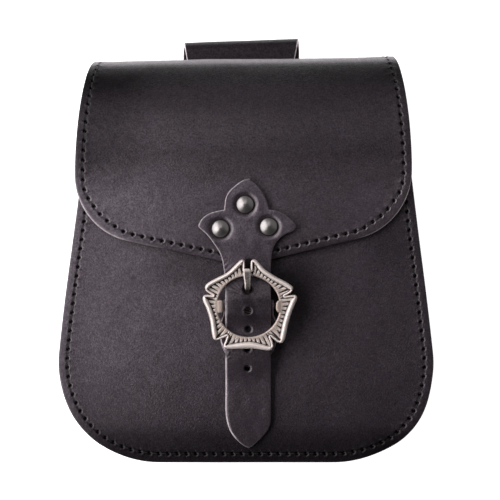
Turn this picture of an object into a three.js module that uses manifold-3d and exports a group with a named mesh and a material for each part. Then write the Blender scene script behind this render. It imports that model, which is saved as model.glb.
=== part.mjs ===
// Leather belt bag, lying on its back with its belt loop underneath. Millimetres, +Z up.
//
// The bag is drawn upright in its own frame and then tipped by the belt loop that it lies on:
//   x  across the bag, 0 on its middle line      y  up the bag, 0 at its bottom edge
//   z  out of the front, 0 on the outer face of the back panel
import * as THREE from 'three';
import { mergeVertices } from 'three/addons/utils/BufferGeometryUtils.js';
import Module from 'manifold-3d';

const wasm = await Module();
wasm.setup();

// ---------------------------------------------------------------- driving dimensions
const GAP = 0.3;                 // left between pieces that touch
const SEAM_GAP = 0.45;           // between a flange and the panel sewn to it
const PANEL = 2.5;               // leather of the panels and the flap
const GUSSET = 1.8;              // softer leather of the gusset
const STRAP = 2.4;
const LOOP = 2.5;

const CORNER = { x: 42.6, radius: 48 };  // centre and radius of the round bottom corners
const SIDE_TAPER = 0.1175;       // the front narrows by this much for each millimetre up, each side
const BACK_TAPER = 0.102;
const FRONT_TOP = 170;           // top edge of the front panel, under the flap
const GUSSET_TOP = 166;
const FLANGE = 6.6;              // depth of the gusset's turned-out flanges
const GUSSET_BOW = 3;            // the gusset's web sinks in by this much half way
const BULGE = 6;                 // the front stands out by this much at its middle
const BULGE_SPAN = 200;

const FOLD_START = 189;          // the back panel is flat up to here
const FOLD_RADIUS = 10;          // then turns through three arcs into the flap
const CROWN = { radius: 32.1, turn: THREE.MathUtils.degToRad(42) };
const BROW = { radius: 53.5, turn: THREE.MathUtils.degToRad(48) };
const FLAP_LIFT = 1.7;           // room under the flap for the rivets' inner caps
const FLAP_REST = { from: 98, to: 110, lift: GAP };  // the tip of the flap is drawn down
const FLAP_SHIFT = -1.4;         // the flap hangs a little to the left
const TOP_SKEW = { rise: 0.016, from: 100, to: 190 };  // the top edge climbs to the right
const FLAP_LEAN = 0.012;         // and so does the lower edge of the flap
// the bottom corners are fuller than their arcs, the right one more than the left
const FULLNESS = { left: 0.8, right: 2.2, from: 20, to: 75, low: 12, high: 14, gone: 42 };
// and the sides swell a little above them
const SWELL = { left: 0.9, right: 0.5, y: 72, reach: 38 };
const FLAP = { top: 74.9, wide: 81.5, tip: 95.6, slope: THREE.MathUtils.degToRad(12.8), corner: 33.5 };

const TILT = THREE.MathUtils.degToRad(3.7);
const LOOP_END = 208.8;          // the loop's fold, measured along the floor from the bag's bottom
const LOOP_FLAT_FROM = 140;
const LOOP_SEAMS = { lower: [103, 119], upper: [166, 190] };
const LOOP_WIDTH = { upper: 48, lower: 59.5, from: 12, to: 66 };  // widens along its strip, round the fold
const LOOP_SKEW = 0.037;         // the loop climbs to the right
const LOOP_SHIFT = -2.7;

const BUCKLE = { x: 1.07, y: 76.5 };
const FRAME = {
  inner: 14.6, notch: 17.4, notchReach: 19.8,
  underside: 7.4, ring: 8.7, ledge: 8.9, rim: 10.4, rimWidth: 2.6,
};
// the five lobes of the frame, none quite like another: directions of their corners in degrees from the
// right, and the distance of the corners and of the hollow side between them from the ring's middle
const LOBES = [
  { from: 20.5, to: 87.5, corner: 23.5, side: 18.8 },
  { from: 94.5, to: 156.5, corner: 23.6, side: 19.6 },
  { from: 166, to: 227.5, corner: 23.2, side: 19.8 },
  { from: 239, to: 300.5, corner: 23.9, side: 20.1 },
  { from: 312.5, to: 373.5, corner: 24.2, side: 20.4 },
];
const BAR = { height: 3.5, radius: 1.3 };
const LUG = { inner: 12.4, outer: 17, half: 3.4, foot: 1.9, top: 8.2, bottom: 2 };
const PRONG = { width: 3.6, thick: 1.8, eye: 2.8, tip: 17.8, rest: 10.25 };
const CHAPE = { eye: 3.2, thick: 3.6, half: 13.5, barHalf: 12, end: 46.5, skived: 1.6, skiveFrom: 60 };

const RIVET = { radius: 4.2, dome: 2.3, shank: 1.3, cap: 3.6, capThick: 0.9 };
const RIVETS = [
  { name: 'head_rivet_top', x: -0.56, y: 125.1 },
  { name: 'head_rivet_left', x: -12.4, y: 113.5 },
  { name: 'head_rivet_right', x: 10.75, y: 114.5 },
];
const HOLES = { radius: 1.6, ys: [74.2, 65.3, 55.9, 46.6] };   // punched holes down the strap
const PRONG_HOLE = { y: 84.1, half: 2.2, halfWidth: 2.15 };

// where the strap climbs and falls over what lies under it, from its pointed end upwards
const STRAP_RISES = [
  { over: 'chape', from: 38.5, to: 55, rise: 3.9 },
  { over: 'bar', from: 64.5, to: 73.5, rise: 2.8 },
  { over: 'top of the frame', from: 79.5, to: 88.5, rise: -3 },
  { over: 'flap edge', from: 88.5, to: 99, rise: -0.65 },
  { over: 'flap', from: FLAP_REST.from, to: FLAP_REST.to, rise: FLAP_LIFT - GAP },
];

// and how its middle wanders to the side from there up: from, to, shift
const STRAP_LEANS = [
  { over: 'neck', from: 95, to: 108, shift: -0.45 },
  { over: 'side lobes', from: 115, to: 122, shift: -0.95 },
  { over: 'upper tip', from: 126, to: 137.3, shift: 1.1 },
];

// ---------------------------------------------------------------- looks
const leather = () => new THREE.MeshStandardMaterial({ color: 0x2b272c, roughness: 0.55, metalness: 0 });
const metal = () => new THREE.MeshStandardMaterial({ color: 0xb5aaa0, roughness: 0.35, metalness: 1 });

// ---------------------------------------------------------------- small tools
const smooth = (from, to, value) => THREE.MathUtils.smoothstep(value, from, to);
const point = (x, y) => new THREE.Vector2(x, y);

// An outline that grows along straight runs, arcs and quadratic bends, each cut into equal pieces.
class Outline {
  constructor(x, y) {
    this.points = [point(x, y)];
  }

  get last() {
    return this.points[this.points.length - 1];
  }

  line(x, y, pieces = 1) {
    const start = this.last;
    for (let i = 1; i <= pieces; i++) this.points.push(start.clone().lerp(point(x, y), i / pieces));
    return this;
  }

  arc(cx, cy, radius, from, to, pieces) {
    for (let i = 1; i <= pieces; i++) {
      const angle = from + (to - from) * (i / pieces);
      this.points.push(point(cx + radius * Math.cos(angle), cy + radius * Math.sin(angle)));
    }
    return this;
  }

  bend(qx, qy, x, y, pieces) {
    const curve = new THREE.QuadraticBezierCurve(this.last.clone(), point(qx, qy), point(x, y));
    for (let i = 1; i <= pieces; i++) this.points.push(curve.getPoint(i / pieces));
    return this;
  }
}

// A closed body through loops of points. Ring bodies join their last loop to their first;
// the others are capped, each cap zipped across between the pairs of points given.
function skin(loops, pairs = null) {
  const count = loops[0].length;
  const triangles = [];
  const bands = pairs ? loops.length - 1 : loops.length;
  for (let j = 0; j < bands; j++) {
    const here = j * count;
    const next = ((j + 1) % loops.length) * count;
    for (let i = 0; i < count; i++) {
      const k = (i + 1) % count;
      triangles.push([here + i, here + k, next + k], [here + i, next + k, next + i]);
    }
  }
  const end = (loops.length - 1) * count;
  for (let i = 0; pairs && i < pairs.length - 1; i++) {
    const [a, b] = pairs[i];
    const [c, d] = pairs[i + 1];
    triangles.push([a, b, d], [a, d, c]);
    triangles.push([end + a, end + c, end + d], [end + a, end + d, end + b]);
  }
  const whole = triangles.filter(([a, b, c]) => a !== b && b !== c && c !== a);
  const geometry = new THREE.BufferGeometry().setFromPoints(loops.flat());
  geometry.setIndex(whole.flat());
  if (volume(geometry) < 0) geometry.setIndex(whole.map(([a, b, c]) => [a, c, b]).flat());
  geometry.computeVertexNormals();
  return geometry;
}

function volume(geometry) {
  const corner = (i) => new THREE.Vector3().fromBufferAttribute(geometry.attributes.position, i);
  const index = geometry.index.array;
  let sum = 0;
  for (let i = 0; i < index.length; i += 3) {
    sum += corner(index[i]).dot(corner(index[i + 1]).cross(corner(index[i + 2])));
  }
  return sum / 6;
}

// Booleans.
function solid(geometry) {
  const bare = geometry.clone();
  bare.deleteAttribute('normal');
  if (bare.attributes.uv) bare.deleteAttribute('uv');
  const merged = mergeVertices(bare, 1e-4);
  return new wasm.Manifold(new wasm.Mesh({
    numProp: 3,
    vertProperties: Float32Array.from(merged.attributes.position.array),
    triVerts: Uint32Array.from(merged.index.array),
  }));
}

function shape(body) {
  const mesh = body.getMesh();
  const geometry = new THREE.BufferGeometry();
  geometry.setAttribute('position', new THREE.BufferAttribute(mesh.vertProperties, 3));
  geometry.setIndex(new THREE.BufferAttribute(mesh.triVerts, 1));
  geometry.computeVertexNormals();
  return geometry;
}

const cut = (geometry, tools) => shape(
  tools.reduce((body, tool) => body.subtract(solid(tool)), solid(geometry)),
);
const join = (geometries) => shape(geometries.map(solid).reduce((body, other) => body.add(other)));

// An upright pin of a given radius, used as a punch.
function punch(x, y, z, radius, sides = 14, height = 20) {
  return new THREE.CylinderGeometry(radius, radius, height, sides).rotateX(Math.PI / 2).translate(x, y, z);
}

// An outline in the y-z plane, extruded across the bag and centred on x.
function across(outline, width, x = 0, holes = []) {
  const flat = new THREE.Shape(outline);
  flat.holes = holes;
  const geometry = new THREE.ExtrudeGeometry(flat, { depth: width, bevelEnabled: false });
  geometry.applyMatrix4(new THREE.Matrix4().set(0, 0, 1, x - width / 2, 1, 0, 0, 0, 0, 1, 0, 0, 0, 0, 0, 1));
  return geometry;
}

// Both sides of a line, half a thickness away from it: out along one, back along the other.
function thicken(line, thickness) {
  const side = (sign) => line.map((p, i) => {
    const before = line[Math.max(i - 1, 0)];
    const after = line[Math.min(i + 1, line.length - 1)];
    const along = after.clone().sub(before).normalize();
    return point(p.x - sign * along.y * thickness / 2, p.y + sign * along.x * thickness / 2);
  });
  return [...side(1), ...side(-1).reverse()];
}

// ---------------------------------------------------------------- leather sheets
// A sheet is drawn flat by its right half, from its middle line round to its middle line again.
// Its rings follow the edge and shrink onto a narrow core, and `place` bends them into space.
function sheet(half, core, place, thickness, insets) {
  const left = half.slice(1, -1).reverse().map((p) => point(-p.x, p.y));
  const edge = [...half, ...left];
  const inward = edge.map((p, i) => {
    const before = edge[(i + edge.length - 1) % edge.length];
    const after = edge[(i + 1) % edge.length];
    const along = after.clone().sub(before).normalize();
    return point(-along.y, along.x);
  });
  const rings = insets.map((inset) => edge.map((p, i) => p.clone().addScaledVector(inward[i], inset)));
  const rim = rings[rings.length - 1];
  const heart = edge.map((p) => {
    const middle = point(0, THREE.MathUtils.clamp(p.y, core.from, core.to));
    return middle.clone().add(p.clone().sub(middle).setLength(core.radius));
  });
  for (let step = 1; step <= core.steps; step++) {
    rings.push(rim.map((p, i) => p.clone().lerp(heart[i], step / core.steps)));
  }
  const outer = [...rings].reverse().map((ring) => ring.map((p) => place(p.x, p.y, 0)));
  const inner = rings.map((ring) => ring.map((p) => place(p.x, p.y, -thickness)));
  const pairs = half.map((_, k) => [k, (edge.length - k) % edge.length]);
  return skin([...outer, ...inner], pairs);
}

// The natural lean of the bag's top edge, its full bottom corners and the swell of its sides.
function settled(x, y, z) {
  const { left, right, from, to, low, high, gone } = FULLNESS;
  const full = smooth(0, low, y) * (1 - smooth(high, gone, y));
  const swell = Math.exp(-(((y - SWELL.y) / SWELL.reach) ** 2));
  const out = (full * right + swell * SWELL.right) * smooth(from, to, x)
    - (full * left + swell * SWELL.left) * smooth(from, to, -x);
  return new THREE.Vector3(x + out, y + TOP_SKEW.rise * x * smooth(TOP_SKEW.from, TOP_SKEW.to, y), z);
}

// ---------------------------------------------------------------- the front
const sideAngle = Math.atan(SIDE_TAPER);
const FLAP_FACE = FOLD_RADIUS + CROWN.radius * Math.sin(CROWN.turn)
  + BROW.radius * (1 - Math.sin(CROWN.turn));
const DEPTH = FLAP_FACE - FLAP_LIFT - PANEL;   // outer face of the front at its edges
const BROW_START = FOLD_START + FOLD_RADIUS - CROWN.radius * (1 - Math.cos(CROWN.turn))
  - BROW.radius * Math.cos(CROWN.turn);

function halfWidth(y) {
  const { x, radius } = CORNER;
  if (y < radius) return x + Math.sqrt(radius ** 2 - (radius - Math.max(y, 0)) ** 2);
  const straightFrom = radius * (1 + Math.sin(sideAngle));
  if (y < straightFrom) return x + Math.sqrt(radius ** 2 - (y - radius) ** 2);
  return x + radius * Math.cos(sideAngle) - (y - straightFrom) * SIDE_TAPER;
}

function bulge(x, y) {
  const up = y / BULGE_SPAN;
  return BULGE * 4 * up * (1 - up) * (1 - (x / halfWidth(y)) ** 2);
}

// Outer face of the front panel. Above the brow it falls back under the flap.
function frontFace(x, y) {
  const radius = BROW.radius - PANEL - FLAP_LIFT;
  const past = Math.max(y - BROW_START, 0);
  return DEPTH + bulge(x, y) - (radius - Math.sqrt(radius ** 2 - past ** 2));
}

function bodyHalf(taper) {
  const { x, radius } = CORNER;
  const angle = Math.atan(taper);
  return new Outline(0, 0).line(x, 0, 4).arc(x, radius, radius, -Math.PI / 2, angle, 12);
}

function frontPanel() {
  const topX = halfWidth(FRONT_TOP);
  const half = bodyHalf(SIDE_TAPER).line(topX + SIDE_TAPER * 14, FRONT_TOP - 14, 8)
    .bend(topX, FRONT_TOP, topX - 14, FRONT_TOP, 5).line(0, FRONT_TOP, 4).points;
  const place = (x, y, offset) => settled(x, y, frontFace(x, y) + offset);
  return sheet(half, { from: 60, to: 140, radius: 8, steps: 3 }, place, PANEL, [0, 6]);
}

// ---------------------------------------------------------------- back panel, fold and flap
// The sheet's profile: length, radius and turn of each stretch, from the bottom of the back.
const PROFILE = [
  { length: FOLD_START },
  { radius: FOLD_RADIUS, turn: Math.PI / 2 },
  CROWN,
  BROW,
  { length: BROW_START },
];
const stretchLength = (stretch) => stretch.length ?? stretch.radius * stretch.turn;
const FRONT_FROM = PROFILE.slice(0, -1).reduce((sum, stretch) => sum + stretchLength(stretch), 0);
const frontLength = (y) => FRONT_FROM + BROW_START - y;

// Point and heading at a length along the profile.
function alongProfile(length) {
  const at = point(0, 0);
  let heading = 0;
  let left = length;
  for (const stretch of PROFILE) {
    const run = Math.min(left, stretchLength(stretch));
    if (stretch.radius) {
      const turned = heading + run / stretch.radius;
      at.x += stretch.radius * (Math.sin(turned) - Math.sin(heading));
      at.y += stretch.radius * (Math.cos(heading) - Math.cos(turned));
      heading = turned;
    } else {
      at.x += run * Math.cos(heading);
      at.y += run * Math.sin(heading);
    }
    left -= run;
    if (left <= 0) break;
  }
  return { y: at.x, z: at.y, heading };
}

function flapLift(y) {
  return FLAP_REST.lift + (FLAP_LIFT - FLAP_REST.lift) * smooth(FLAP_REST.from, FLAP_REST.to, y);
}

function placeSheet(x, length, offset) {
  const { y, z, heading } = alongProfile(length);
  const share = heading / Math.PI;      // 0 on the back, 1 on the front
  const front = length > FRONT_FROM ? flapLift(y) - FLAP_LIFT : 0;
  const out = offset + (share > 0.5 ? bulge(x, y) * smooth(0.5, 1, share) + front : 0);
  const shift = FLAP_SHIFT * smooth(0, 0.6, share);
  const lean = FLAP_LEAN * x * smooth(0.5, 1, share) * (1 - smooth(TOP_SKEW.from, TOP_SKEW.to, y));
  return settled(x + shift, y + lean + out * Math.sin(heading), z - out * Math.cos(heading));
}

function backAndFlap() {
  const { wide, tip, slope, corner } = FLAP;
  const cornerX = wide - corner;
  const cornerY = tip + (corner + cornerX * Math.sin(slope)) / Math.cos(slope);
  const foldEnd = FOLD_START + FOLD_RADIUS * Math.PI / 2;
  const half = bodyHalf(BACK_TAPER);
  half.line(FLAP.top + BACK_TAPER * 14, FOLD_START - 4, 6)
    .line(FLAP.top, foldEnd - 5, 4)
    .bend(FLAP.top - 0.4, foldEnd + 2, FLAP.top + 0.3, foldEnd + 8, 3)
    .bend(wide - 0.8, FRONT_FROM - 22, wide, FRONT_FROM + 6, 11)
    .line(wide, frontLength(cornerY), 1)
    .arc(cornerX, frontLength(cornerY), corner, 0, Math.PI / 2 - slope, 8)
    .line(0, frontLength(tip), 5);
  const core = { from: 60, to: FRONT_FROM, radius: 8, steps: 2 };
  return sheet(half.points, core, placeSheet, PANEL, [0, 9]);
}

// ---------------------------------------------------------------- gusset
function gusset() {
  const half = bodyHalf(SIDE_TAPER).line(halfWidth(GUSSET_TOP), GUSSET_TOP, 8).points;
  const path = [...half.slice(1).reverse().map((p) => point(-p.x, p.y)), ...half];
  const loops = path.map((p, i) => {
    const before = path[Math.max(i - 1, 0)];
    const after = path[Math.min(i + 1, path.length - 1)];
    const along = after.clone().sub(before).normalize();
    const inward = point(-along.y, along.x);
    const at = (inset) => p.clone().addScaledVector(inward, inset);
    const top = (inset) => frontFace(at(inset).x, at(inset).y) - PANEL - SEAM_GAP - GUSSET / 2;
    const bottom = PANEL + SEAM_GAP + GUSSET / 2;
    const middle = (top(FLANGE) + bottom) / 2;
    const bent = FLANGE + GUSSET / 2;
    const line = [
      point(0.4, top(0.4)), point(FLANGE - 1, top(FLANGE - 1)), point(bent, top(bent) - 1.6),
      point(bent + GUSSET_BOW * 0.8, (top(bent) + middle) / 2), point(bent + GUSSET_BOW, middle),
      point(bent + GUSSET_BOW * 0.8, (bottom + middle) / 2),
      point(bent, bottom + 1.6), point(FLANGE - 1, bottom), point(0.4, bottom),
    ];
    return thicken(line, GUSSET).map((q) => settled(at(q.x).x, at(q.x).y, q.y));
  });
  const count = loops[0].length;
  const pairs = Array.from({ length: count / 2 }, (_, i) => [i, count - 1 - i]);
  return skin(loops, pairs);
}

// ---------------------------------------------------------------- closure strap and its rivets
// Underside of the strap above the front panel.
function strapHeight(y) {
  return STRAP_RISES.reduce((height, { from, to, rise }) => height + rise * smooth(from, to, y), GAP);
}

function strapMiddle(y) {
  return STRAP_LEANS.reduce((x, { from, to, shift }) => x + shift * smooth(from, to, y), BUCKLE.x);
}

function closureStrap() {
  const half = new Outline(0, 8.6)
    .bend(10.2, 13.5, 10.8, 25, 5)
    .line(11, 40, 1).line(11, 56, 4).line(11, 62, 1).line(11, 74, 4).line(11, 79.5, 1)
    .line(11, 90, 5).line(11.6, 97, 2)
    .bend(14, 107, 23.2, 114.9, 5)
    .bend(19.5, 121.5, 10.6, 123.2, 4)
    .line(10.7, 125, 1)
    .bend(8.5, 134, 0, 137.3, 4).points;
  const place = (x, y, offset) => {
    const worldX = x + strapMiddle(y);
    return new THREE.Vector3(worldX, y, frontFace(worldX, y) + strapHeight(y) + STRAP + offset);
  };
  const strip = sheet(half, { from: 14, to: 128, radius: 4, steps: 1 }, place, STRAP, [0]);
  const top = frontFace(0, BUCKLE.y) + 6;
  const round = HOLES.ys.map((y) => punch(BUCKLE.x - 0.3, y, top, HOLES.radius));
  const { y, half: halfLength, halfWidth: halfSlot } = PRONG_HOLE;
  const slot = new THREE.BoxGeometry(halfSlot * 2, halfLength * 2, 20).translate(BUCKLE.x, y, top);
  const shanks = RIVETS.map((r) => punch(r.x, r.y, top, RIVET.shank + GAP));
  return cut(strip, [...round, slot, ...shanks]);
}

function headRivet({ x, y }) {
  const { radius, dome, shank, cap, capThick } = RIVET;
  const seat = strapHeight(y) + STRAP + GAP;
  const profile = [point(0, GAP), point(cap, GAP), point(cap, GAP + capThick), point(shank, GAP + capThick)];
  profile.push(point(shank, seat), point(radius - 0.3, seat));
  const sphere = (radius ** 2 + dome ** 2) / (2 * dome);
  for (let i = 0; i <= 4; i++) {
    const r = radius * Math.cos(i / 4 * Math.PI / 2);
    profile.push(point(r, seat + 0.25 + dome - sphere + Math.sqrt(sphere ** 2 - r ** 2)));
  }
  profile[profile.length - 1].x = 0;
  return new THREE.LatheGeometry(profile, 16).rotateX(Math.PI / 2).translate(x, y, frontFace(x, y));
}

// ---------------------------------------------------------------- buckle, on the front's tangent plane
const buckleSlope = (frontFace(0, BUCKLE.y + 1) - frontFace(0, BUCKLE.y - 1)) / 2;

// The front's fall below that plane, at a distance up or down from the bar.
const fallAway = (y) => 4 * BULGE / BULGE_SPAN ** 2 * y ** 2;

function buckleFrame() {
  const { inner, notch, notchReach, underside, ring, ledge, rim, rimWidth } = FRAME;
  const sectionAt = (degrees, reach, rimTop) => {
    const angle = THREE.MathUtils.degToRad(degrees);
    const profile = [
      [inner, underside], [reach - 0.5, underside], [reach, underside + 0.5], [reach, rimTop - 0.8],
      [reach - 0.6, rimTop], [reach - 1.8, rimTop], [Math.max(reach - rimWidth, inner + 0.3), ledge],
      [inner + 0.1, ring], [inner - 0.1, ring - 0.4],
    ];
    return profile.map(([r, z]) => new THREE.Vector3(r * Math.cos(angle), r * Math.sin(angle), z));
  };
  const loops = LOBES.flatMap(({ from, to, corner, side }, i) => {
    const gap = (LOBES[(i + 1) % LOBES.length].from - to + 360) % 360;
    const lobe = [-1, -0.96, -0.66, -0.33, 0, 0.33, 0.66, 0.96, 1].map((share) => {
      const reach = THREE.MathUtils.lerp(side, corner, share ** 2) - (Math.abs(share) === 1 ? 0.7 : 0);
      return sectionAt((from + to) / 2 + share * (to - from) / 2, reach, rim);
    });
    const notches = [[0.25, notchReach], [0.5, notch], [0.75, notchReach]];
    return [...lobe, ...notches.map(([share, reach]) => sectionAt(to + gap * share, reach, ledge - 0.1))];
  });
  const bar = new THREE.CylinderGeometry(BAR.radius, BAR.radius, 2 * LUG.outer - 2, 12)
    .rotateZ(Math.PI / 2).translate(0, 0, BAR.height);
  const lug = (side) => across([
    point(-LUG.half, LUG.top), point(-LUG.half, underside), point(-LUG.foot, LUG.bottom),
    point(LUG.foot, LUG.bottom), point(LUG.half, underside), point(LUG.half, LUG.top),
  ], LUG.outer - LUG.inner, side * (LUG.outer + LUG.inner) / 2);
  return join([skin(loops), bar, lug(-1), lug(1)]);
}

function buckleProng() {
  const { width, thick, eye, tip, rest } = PRONG;
  const circle = (radius, sides) => new Outline(radius, BAR.height)
    .arc(0, BAR.height, radius, 0, Math.PI * 2 * (1 - 1 / sides), sides - 1).points;
  const curl = across(circle(eye, 16), width, 0, [new THREE.Path(circle(BAR.radius + GAP, 12))]);
  const line = new Outline(1.4, BAR.height + 1.6)
    .line(4.6, 5.1).bend(7, 5.2, 8.6, 8, 3).bend(9.9, rest, 12, rest, 3).line(tip, rest).points;
  return join([curl, across(thicken(line, thick), width)]);
}

function buckleChape() {
  const { eye, thick, half, barHalf, end, skived, skiveFrom } = CHAPE;
  const endY = end - BUCKLE.y;
  const skiveY = skiveFrom - BUCKLE.y;
  const side = new Outline(endY, GAP - fallAway(endY));
  for (let y = endY + 5; y < -1; y += 6) side.line(y, GAP - fallAway(y));
  side.line(0, BAR.height - eye);
  const shoulder = Math.asin((GAP + thick - BAR.height) / eye);
  side.arc(0, BAR.height, eye, -Math.PI / 2, Math.PI - shoulder, 14);
  for (const y of [-8, skiveY + 2]) side.line(y, GAP + thick - fallAway(y));
  side.line(skiveY, GAP + thick - fallAway(skiveY) - 0.02).line(endY, skived - fallAway(endY));
  const barHole = new Outline(BAR.radius + GAP, BAR.height)
    .arc(0, BAR.height, BAR.radius + GAP, 0, Math.PI * 2 * 11 / 12, 11).points;
  const body = across(side.points, half * 2, 0, [new THREE.Path(barHole)]);
  const rightSide = new Outline(0, endY - 0.5).bend(8, endY - 0.3, 10.6, skiveY - 7.5, 5)
    .bend(half, skiveY - 3, half, skiveY, 3).line(half, -9).line(barHalf, -6).line(barHalf, 5).points;
  const plan = [...rightSide, ...rightSide.slice(1).reverse().map((p) => point(-p.x, p.y))];
  const prism = new THREE.ExtrudeGeometry(new THREE.Shape(plan), { depth: 20, bevelEnabled: false })
    .translate(0, 0, -6);
  const slot = new THREE.BoxGeometry(PRONG.width + 0.8, 2 * eye + 0.4, 20).translate(0, 0, 3);
  return shape(solid(body).intersect(solid(prism)).subtract(solid(slot)));
}

// ---------------------------------------------------------------- belt loop, drawn on the floor
function beltLoop() {
  const onBack = (y) => y * Math.tan(TILT) - (GAP + LOOP / 2) / Math.cos(TILT);
  const [lowEnd, lowSeam] = LOOP_SEAMS.lower;
  const [highEnd, highSeam] = LOOP_SEAMS.upper;
  const floor = LOOP / 2;
  const top = 10.3;
  const radius = (top - floor) / 2;
  const foldY = LOOP_END - radius - LOOP / 2;
  const line = new Outline(highEnd, onBack(highEnd))
    .line(highSeam, onBack(highSeam), 2)
    .bend(foldY - 7, top + 0.15, foldY, top, 2)
    .arc(foldY, floor + radius, radius, Math.PI / 2, -Math.PI / 2, 9)
    .line(LOOP_FLAT_FROM, floor, 3)
    .bend(LOOP_FLAT_FROM - 6, floor, (LOOP_FLAT_FROM + lowSeam) / 2, (floor + onBack(lowSeam)) / 2, 3)
    .bend(lowSeam + 6, onBack(lowSeam) + 0.2, lowSeam, onBack(lowSeam), 3)
    .line(lowEnd, onBack(lowEnd), 1).points;
  let run = 0;
  const widths = line.map((p, i) => {
    if (i > 0) run += p.distanceTo(line[i - 1]);
    const share = smooth(LOOP_WIDTH.from, LOOP_WIDTH.to, run);
    return THREE.MathUtils.lerp(LOOP_WIDTH.upper, LOOP_WIDTH.lower, share);
  });
  const band = thicken(line, LOOP);
  const n = line.length;
  const widthOf = (i) => widths[i < n ? i : 2 * n - 1 - i];
  const loop = (side) => band.map((p, i) => {
    const x = side * widthOf(i) / 2;
    return new THREE.Vector3(LOOP_SHIFT + x, p.x + LOOP_SKEW * x, p.y);
  });
  return skin([loop(-1), loop(1)], line.map((_, i) => [i, 2 * n - 1 - i]));
}

// ---------------------------------------------------------------- assembly
function node(name, geometry, material) {
  const mesh = new THREE.Mesh(geometry, material);
  mesh.name = name;
  return mesh;
}

const buckle = new THREE.Group();
buckle.position.set(BUCKLE.x, BUCKLE.y, frontFace(BUCKLE.x, BUCKLE.y));
buckle.rotation.x = Math.atan(buckleSlope);
buckle.add(
  node('buckle_frame', buckleFrame(), metal()),
  node('buckle_prong', buckleProng(), metal()),
  node('buckle_chape', buckleChape(), leather()),
);

const rivetHoles = RIVETS.map((r) => punch(r.x, r.y, frontFace(r.x, r.y) + 6, RIVET.shank + GAP, 14, 11));
const bag = new THREE.Group();
bag.rotation.x = TILT;
bag.add(
  node('back_and_flap', cut(backAndFlap(), rivetHoles), leather()),
  node('front_panel', frontPanel(), leather()),
  node('gusset', gusset(), leather()),
  node('closure_strap', closureStrap(), leather()),
  ...RIVETS.map((rivet) => node(rivet.name, headRivet(rivet), metal())),
  buckle,
);

// The origin is under the middle of the whole: the bag's front bottom edge leans out over its back.
const part = new THREE.Group();
const lying = new THREE.Group();
lying.position.y = -(LOOP_END - DEPTH * Math.sin(TILT)) / 2;
lying.add(bag, node('belt_loop', beltLoop(), leather()));
part.add(lying);

export default part;
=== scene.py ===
# A black leather belt bag lying on its back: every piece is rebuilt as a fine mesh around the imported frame.
#
# Pieces are drawn in millimetres in the bag's own frame, as the frame's source has them:
#   x  across the bag, 0 on its middle line      y  up the bag, 0 at its bottom edge
#   z  out of the front, 0 on the outer face of the back panel
# and `to_world` then tips them by the belt loop that the bag lies on, and turns them into metres.
import math

import bmesh
import bpy
import numpy as np
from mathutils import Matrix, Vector
from mathutils.geometry import delaunay_2d_cdt
from mathutils.kdtree import KDTree


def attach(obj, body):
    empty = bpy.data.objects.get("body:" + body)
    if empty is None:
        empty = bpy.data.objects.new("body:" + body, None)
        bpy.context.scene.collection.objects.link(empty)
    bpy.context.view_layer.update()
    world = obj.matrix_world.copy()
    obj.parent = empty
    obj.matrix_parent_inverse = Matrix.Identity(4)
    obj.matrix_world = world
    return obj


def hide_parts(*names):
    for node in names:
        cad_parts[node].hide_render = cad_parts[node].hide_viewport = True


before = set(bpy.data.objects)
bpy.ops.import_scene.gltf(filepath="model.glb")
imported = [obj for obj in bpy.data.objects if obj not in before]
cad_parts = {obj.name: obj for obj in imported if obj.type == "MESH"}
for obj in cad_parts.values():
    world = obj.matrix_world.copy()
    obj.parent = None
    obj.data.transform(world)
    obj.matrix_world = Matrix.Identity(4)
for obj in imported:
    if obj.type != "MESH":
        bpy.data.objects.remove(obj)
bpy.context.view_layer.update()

MM = 0.001
WELD = 0.001  # points closer than this are one point, millimetres

# ---- driving dimensions, millimetres
GAP = 0.3
SEAM_GAP = 0.45
PANEL = 2.5
GUSSET = 1.8
STRAP = 2.4
LOOP = 2.5

CORNER_X, CORNER_RADIUS = 42.6, 48.0
SIDE_TAPER, BACK_TAPER = 0.1175, 0.102
FRONT_TOP, GUSSET_TOP = 170.0, 166.0
FRONT_CORNER = 14  # length of its round top corners
FLANGE = 6.6
FLANGE_FROM = 0.75  # the flange stops this far short of the seam's edge
GUSSET_BOW, GUSSET_CREASE = 3.0, 0.55
BULGE, BULGE_SPAN, BULGE_SHAPE = 6.0, 200.0, 1.7

FOLD_START, FOLD_RADIUS = 189.0, 10.0
CROWN_RADIUS, CROWN_TURN = 32.1, math.radians(42)
BROW_RADIUS, BROW_TURN = 53.5, math.radians(48)
FLAP_LIFT, FLAP_REST_FROM, FLAP_REST_TO = 1.7, 98.0, 110.0
FLAP_SHIFT = -1.4
TOP_SKEW_RISE, TOP_SKEW_FROM, TOP_SKEW_TO = 0.016, 100.0, 190.0
FLAP_LEAN = 0.012
FULL_LEFT, FULL_RIGHT = 0.8, 2.2  # how far the bottom corners stand out
FULL_FROM, FULL_TO, FULL_LOW, FULL_HIGH, FULL_GONE = 20.0, 75.0, 12.0, 14.0, 42.0
FLAP_TOP, FLAP_WIDE, FLAP_TIP = 74.9, 81.5, 95.6
FLAP_SLOPE, FLAP_CORNER = math.radians(12.8), 33.5
SWELL_LEFT, SWELL_RIGHT, SWELL_Y, SWELL_REACH = 0.9, 0.5, 72.0, 38.0
DROOP, DROOP_TO = 2.2, 28.0  # the front falls away towards its bottom edge
ROLL, ROLL_WIDE = 0.3, 2.6  # and rolls over a little at its sides
FLAP_ROLL, FLAP_ROLL_WIDE = 0.28, 2.2  # as the flap does all round

TILT = math.radians(3.7)
LOOP_END, LOOP_FLAT_FROM = 208.8, 140.0
LOOP_LOW_SEAM, LOOP_HIGH_SEAM = (103.0, 119.0), (166.0, 190.0)
LOOP_UPPER, LOOP_LOWER, LOOP_WIDENS, LOOP_SKEW, LOOP_SHIFT = 48.0, 59.5, (8.0, 52.0), 0.037, -2.7
LOOP_RISE = 1.35  # the fold stands out a little past the frame's

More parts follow.
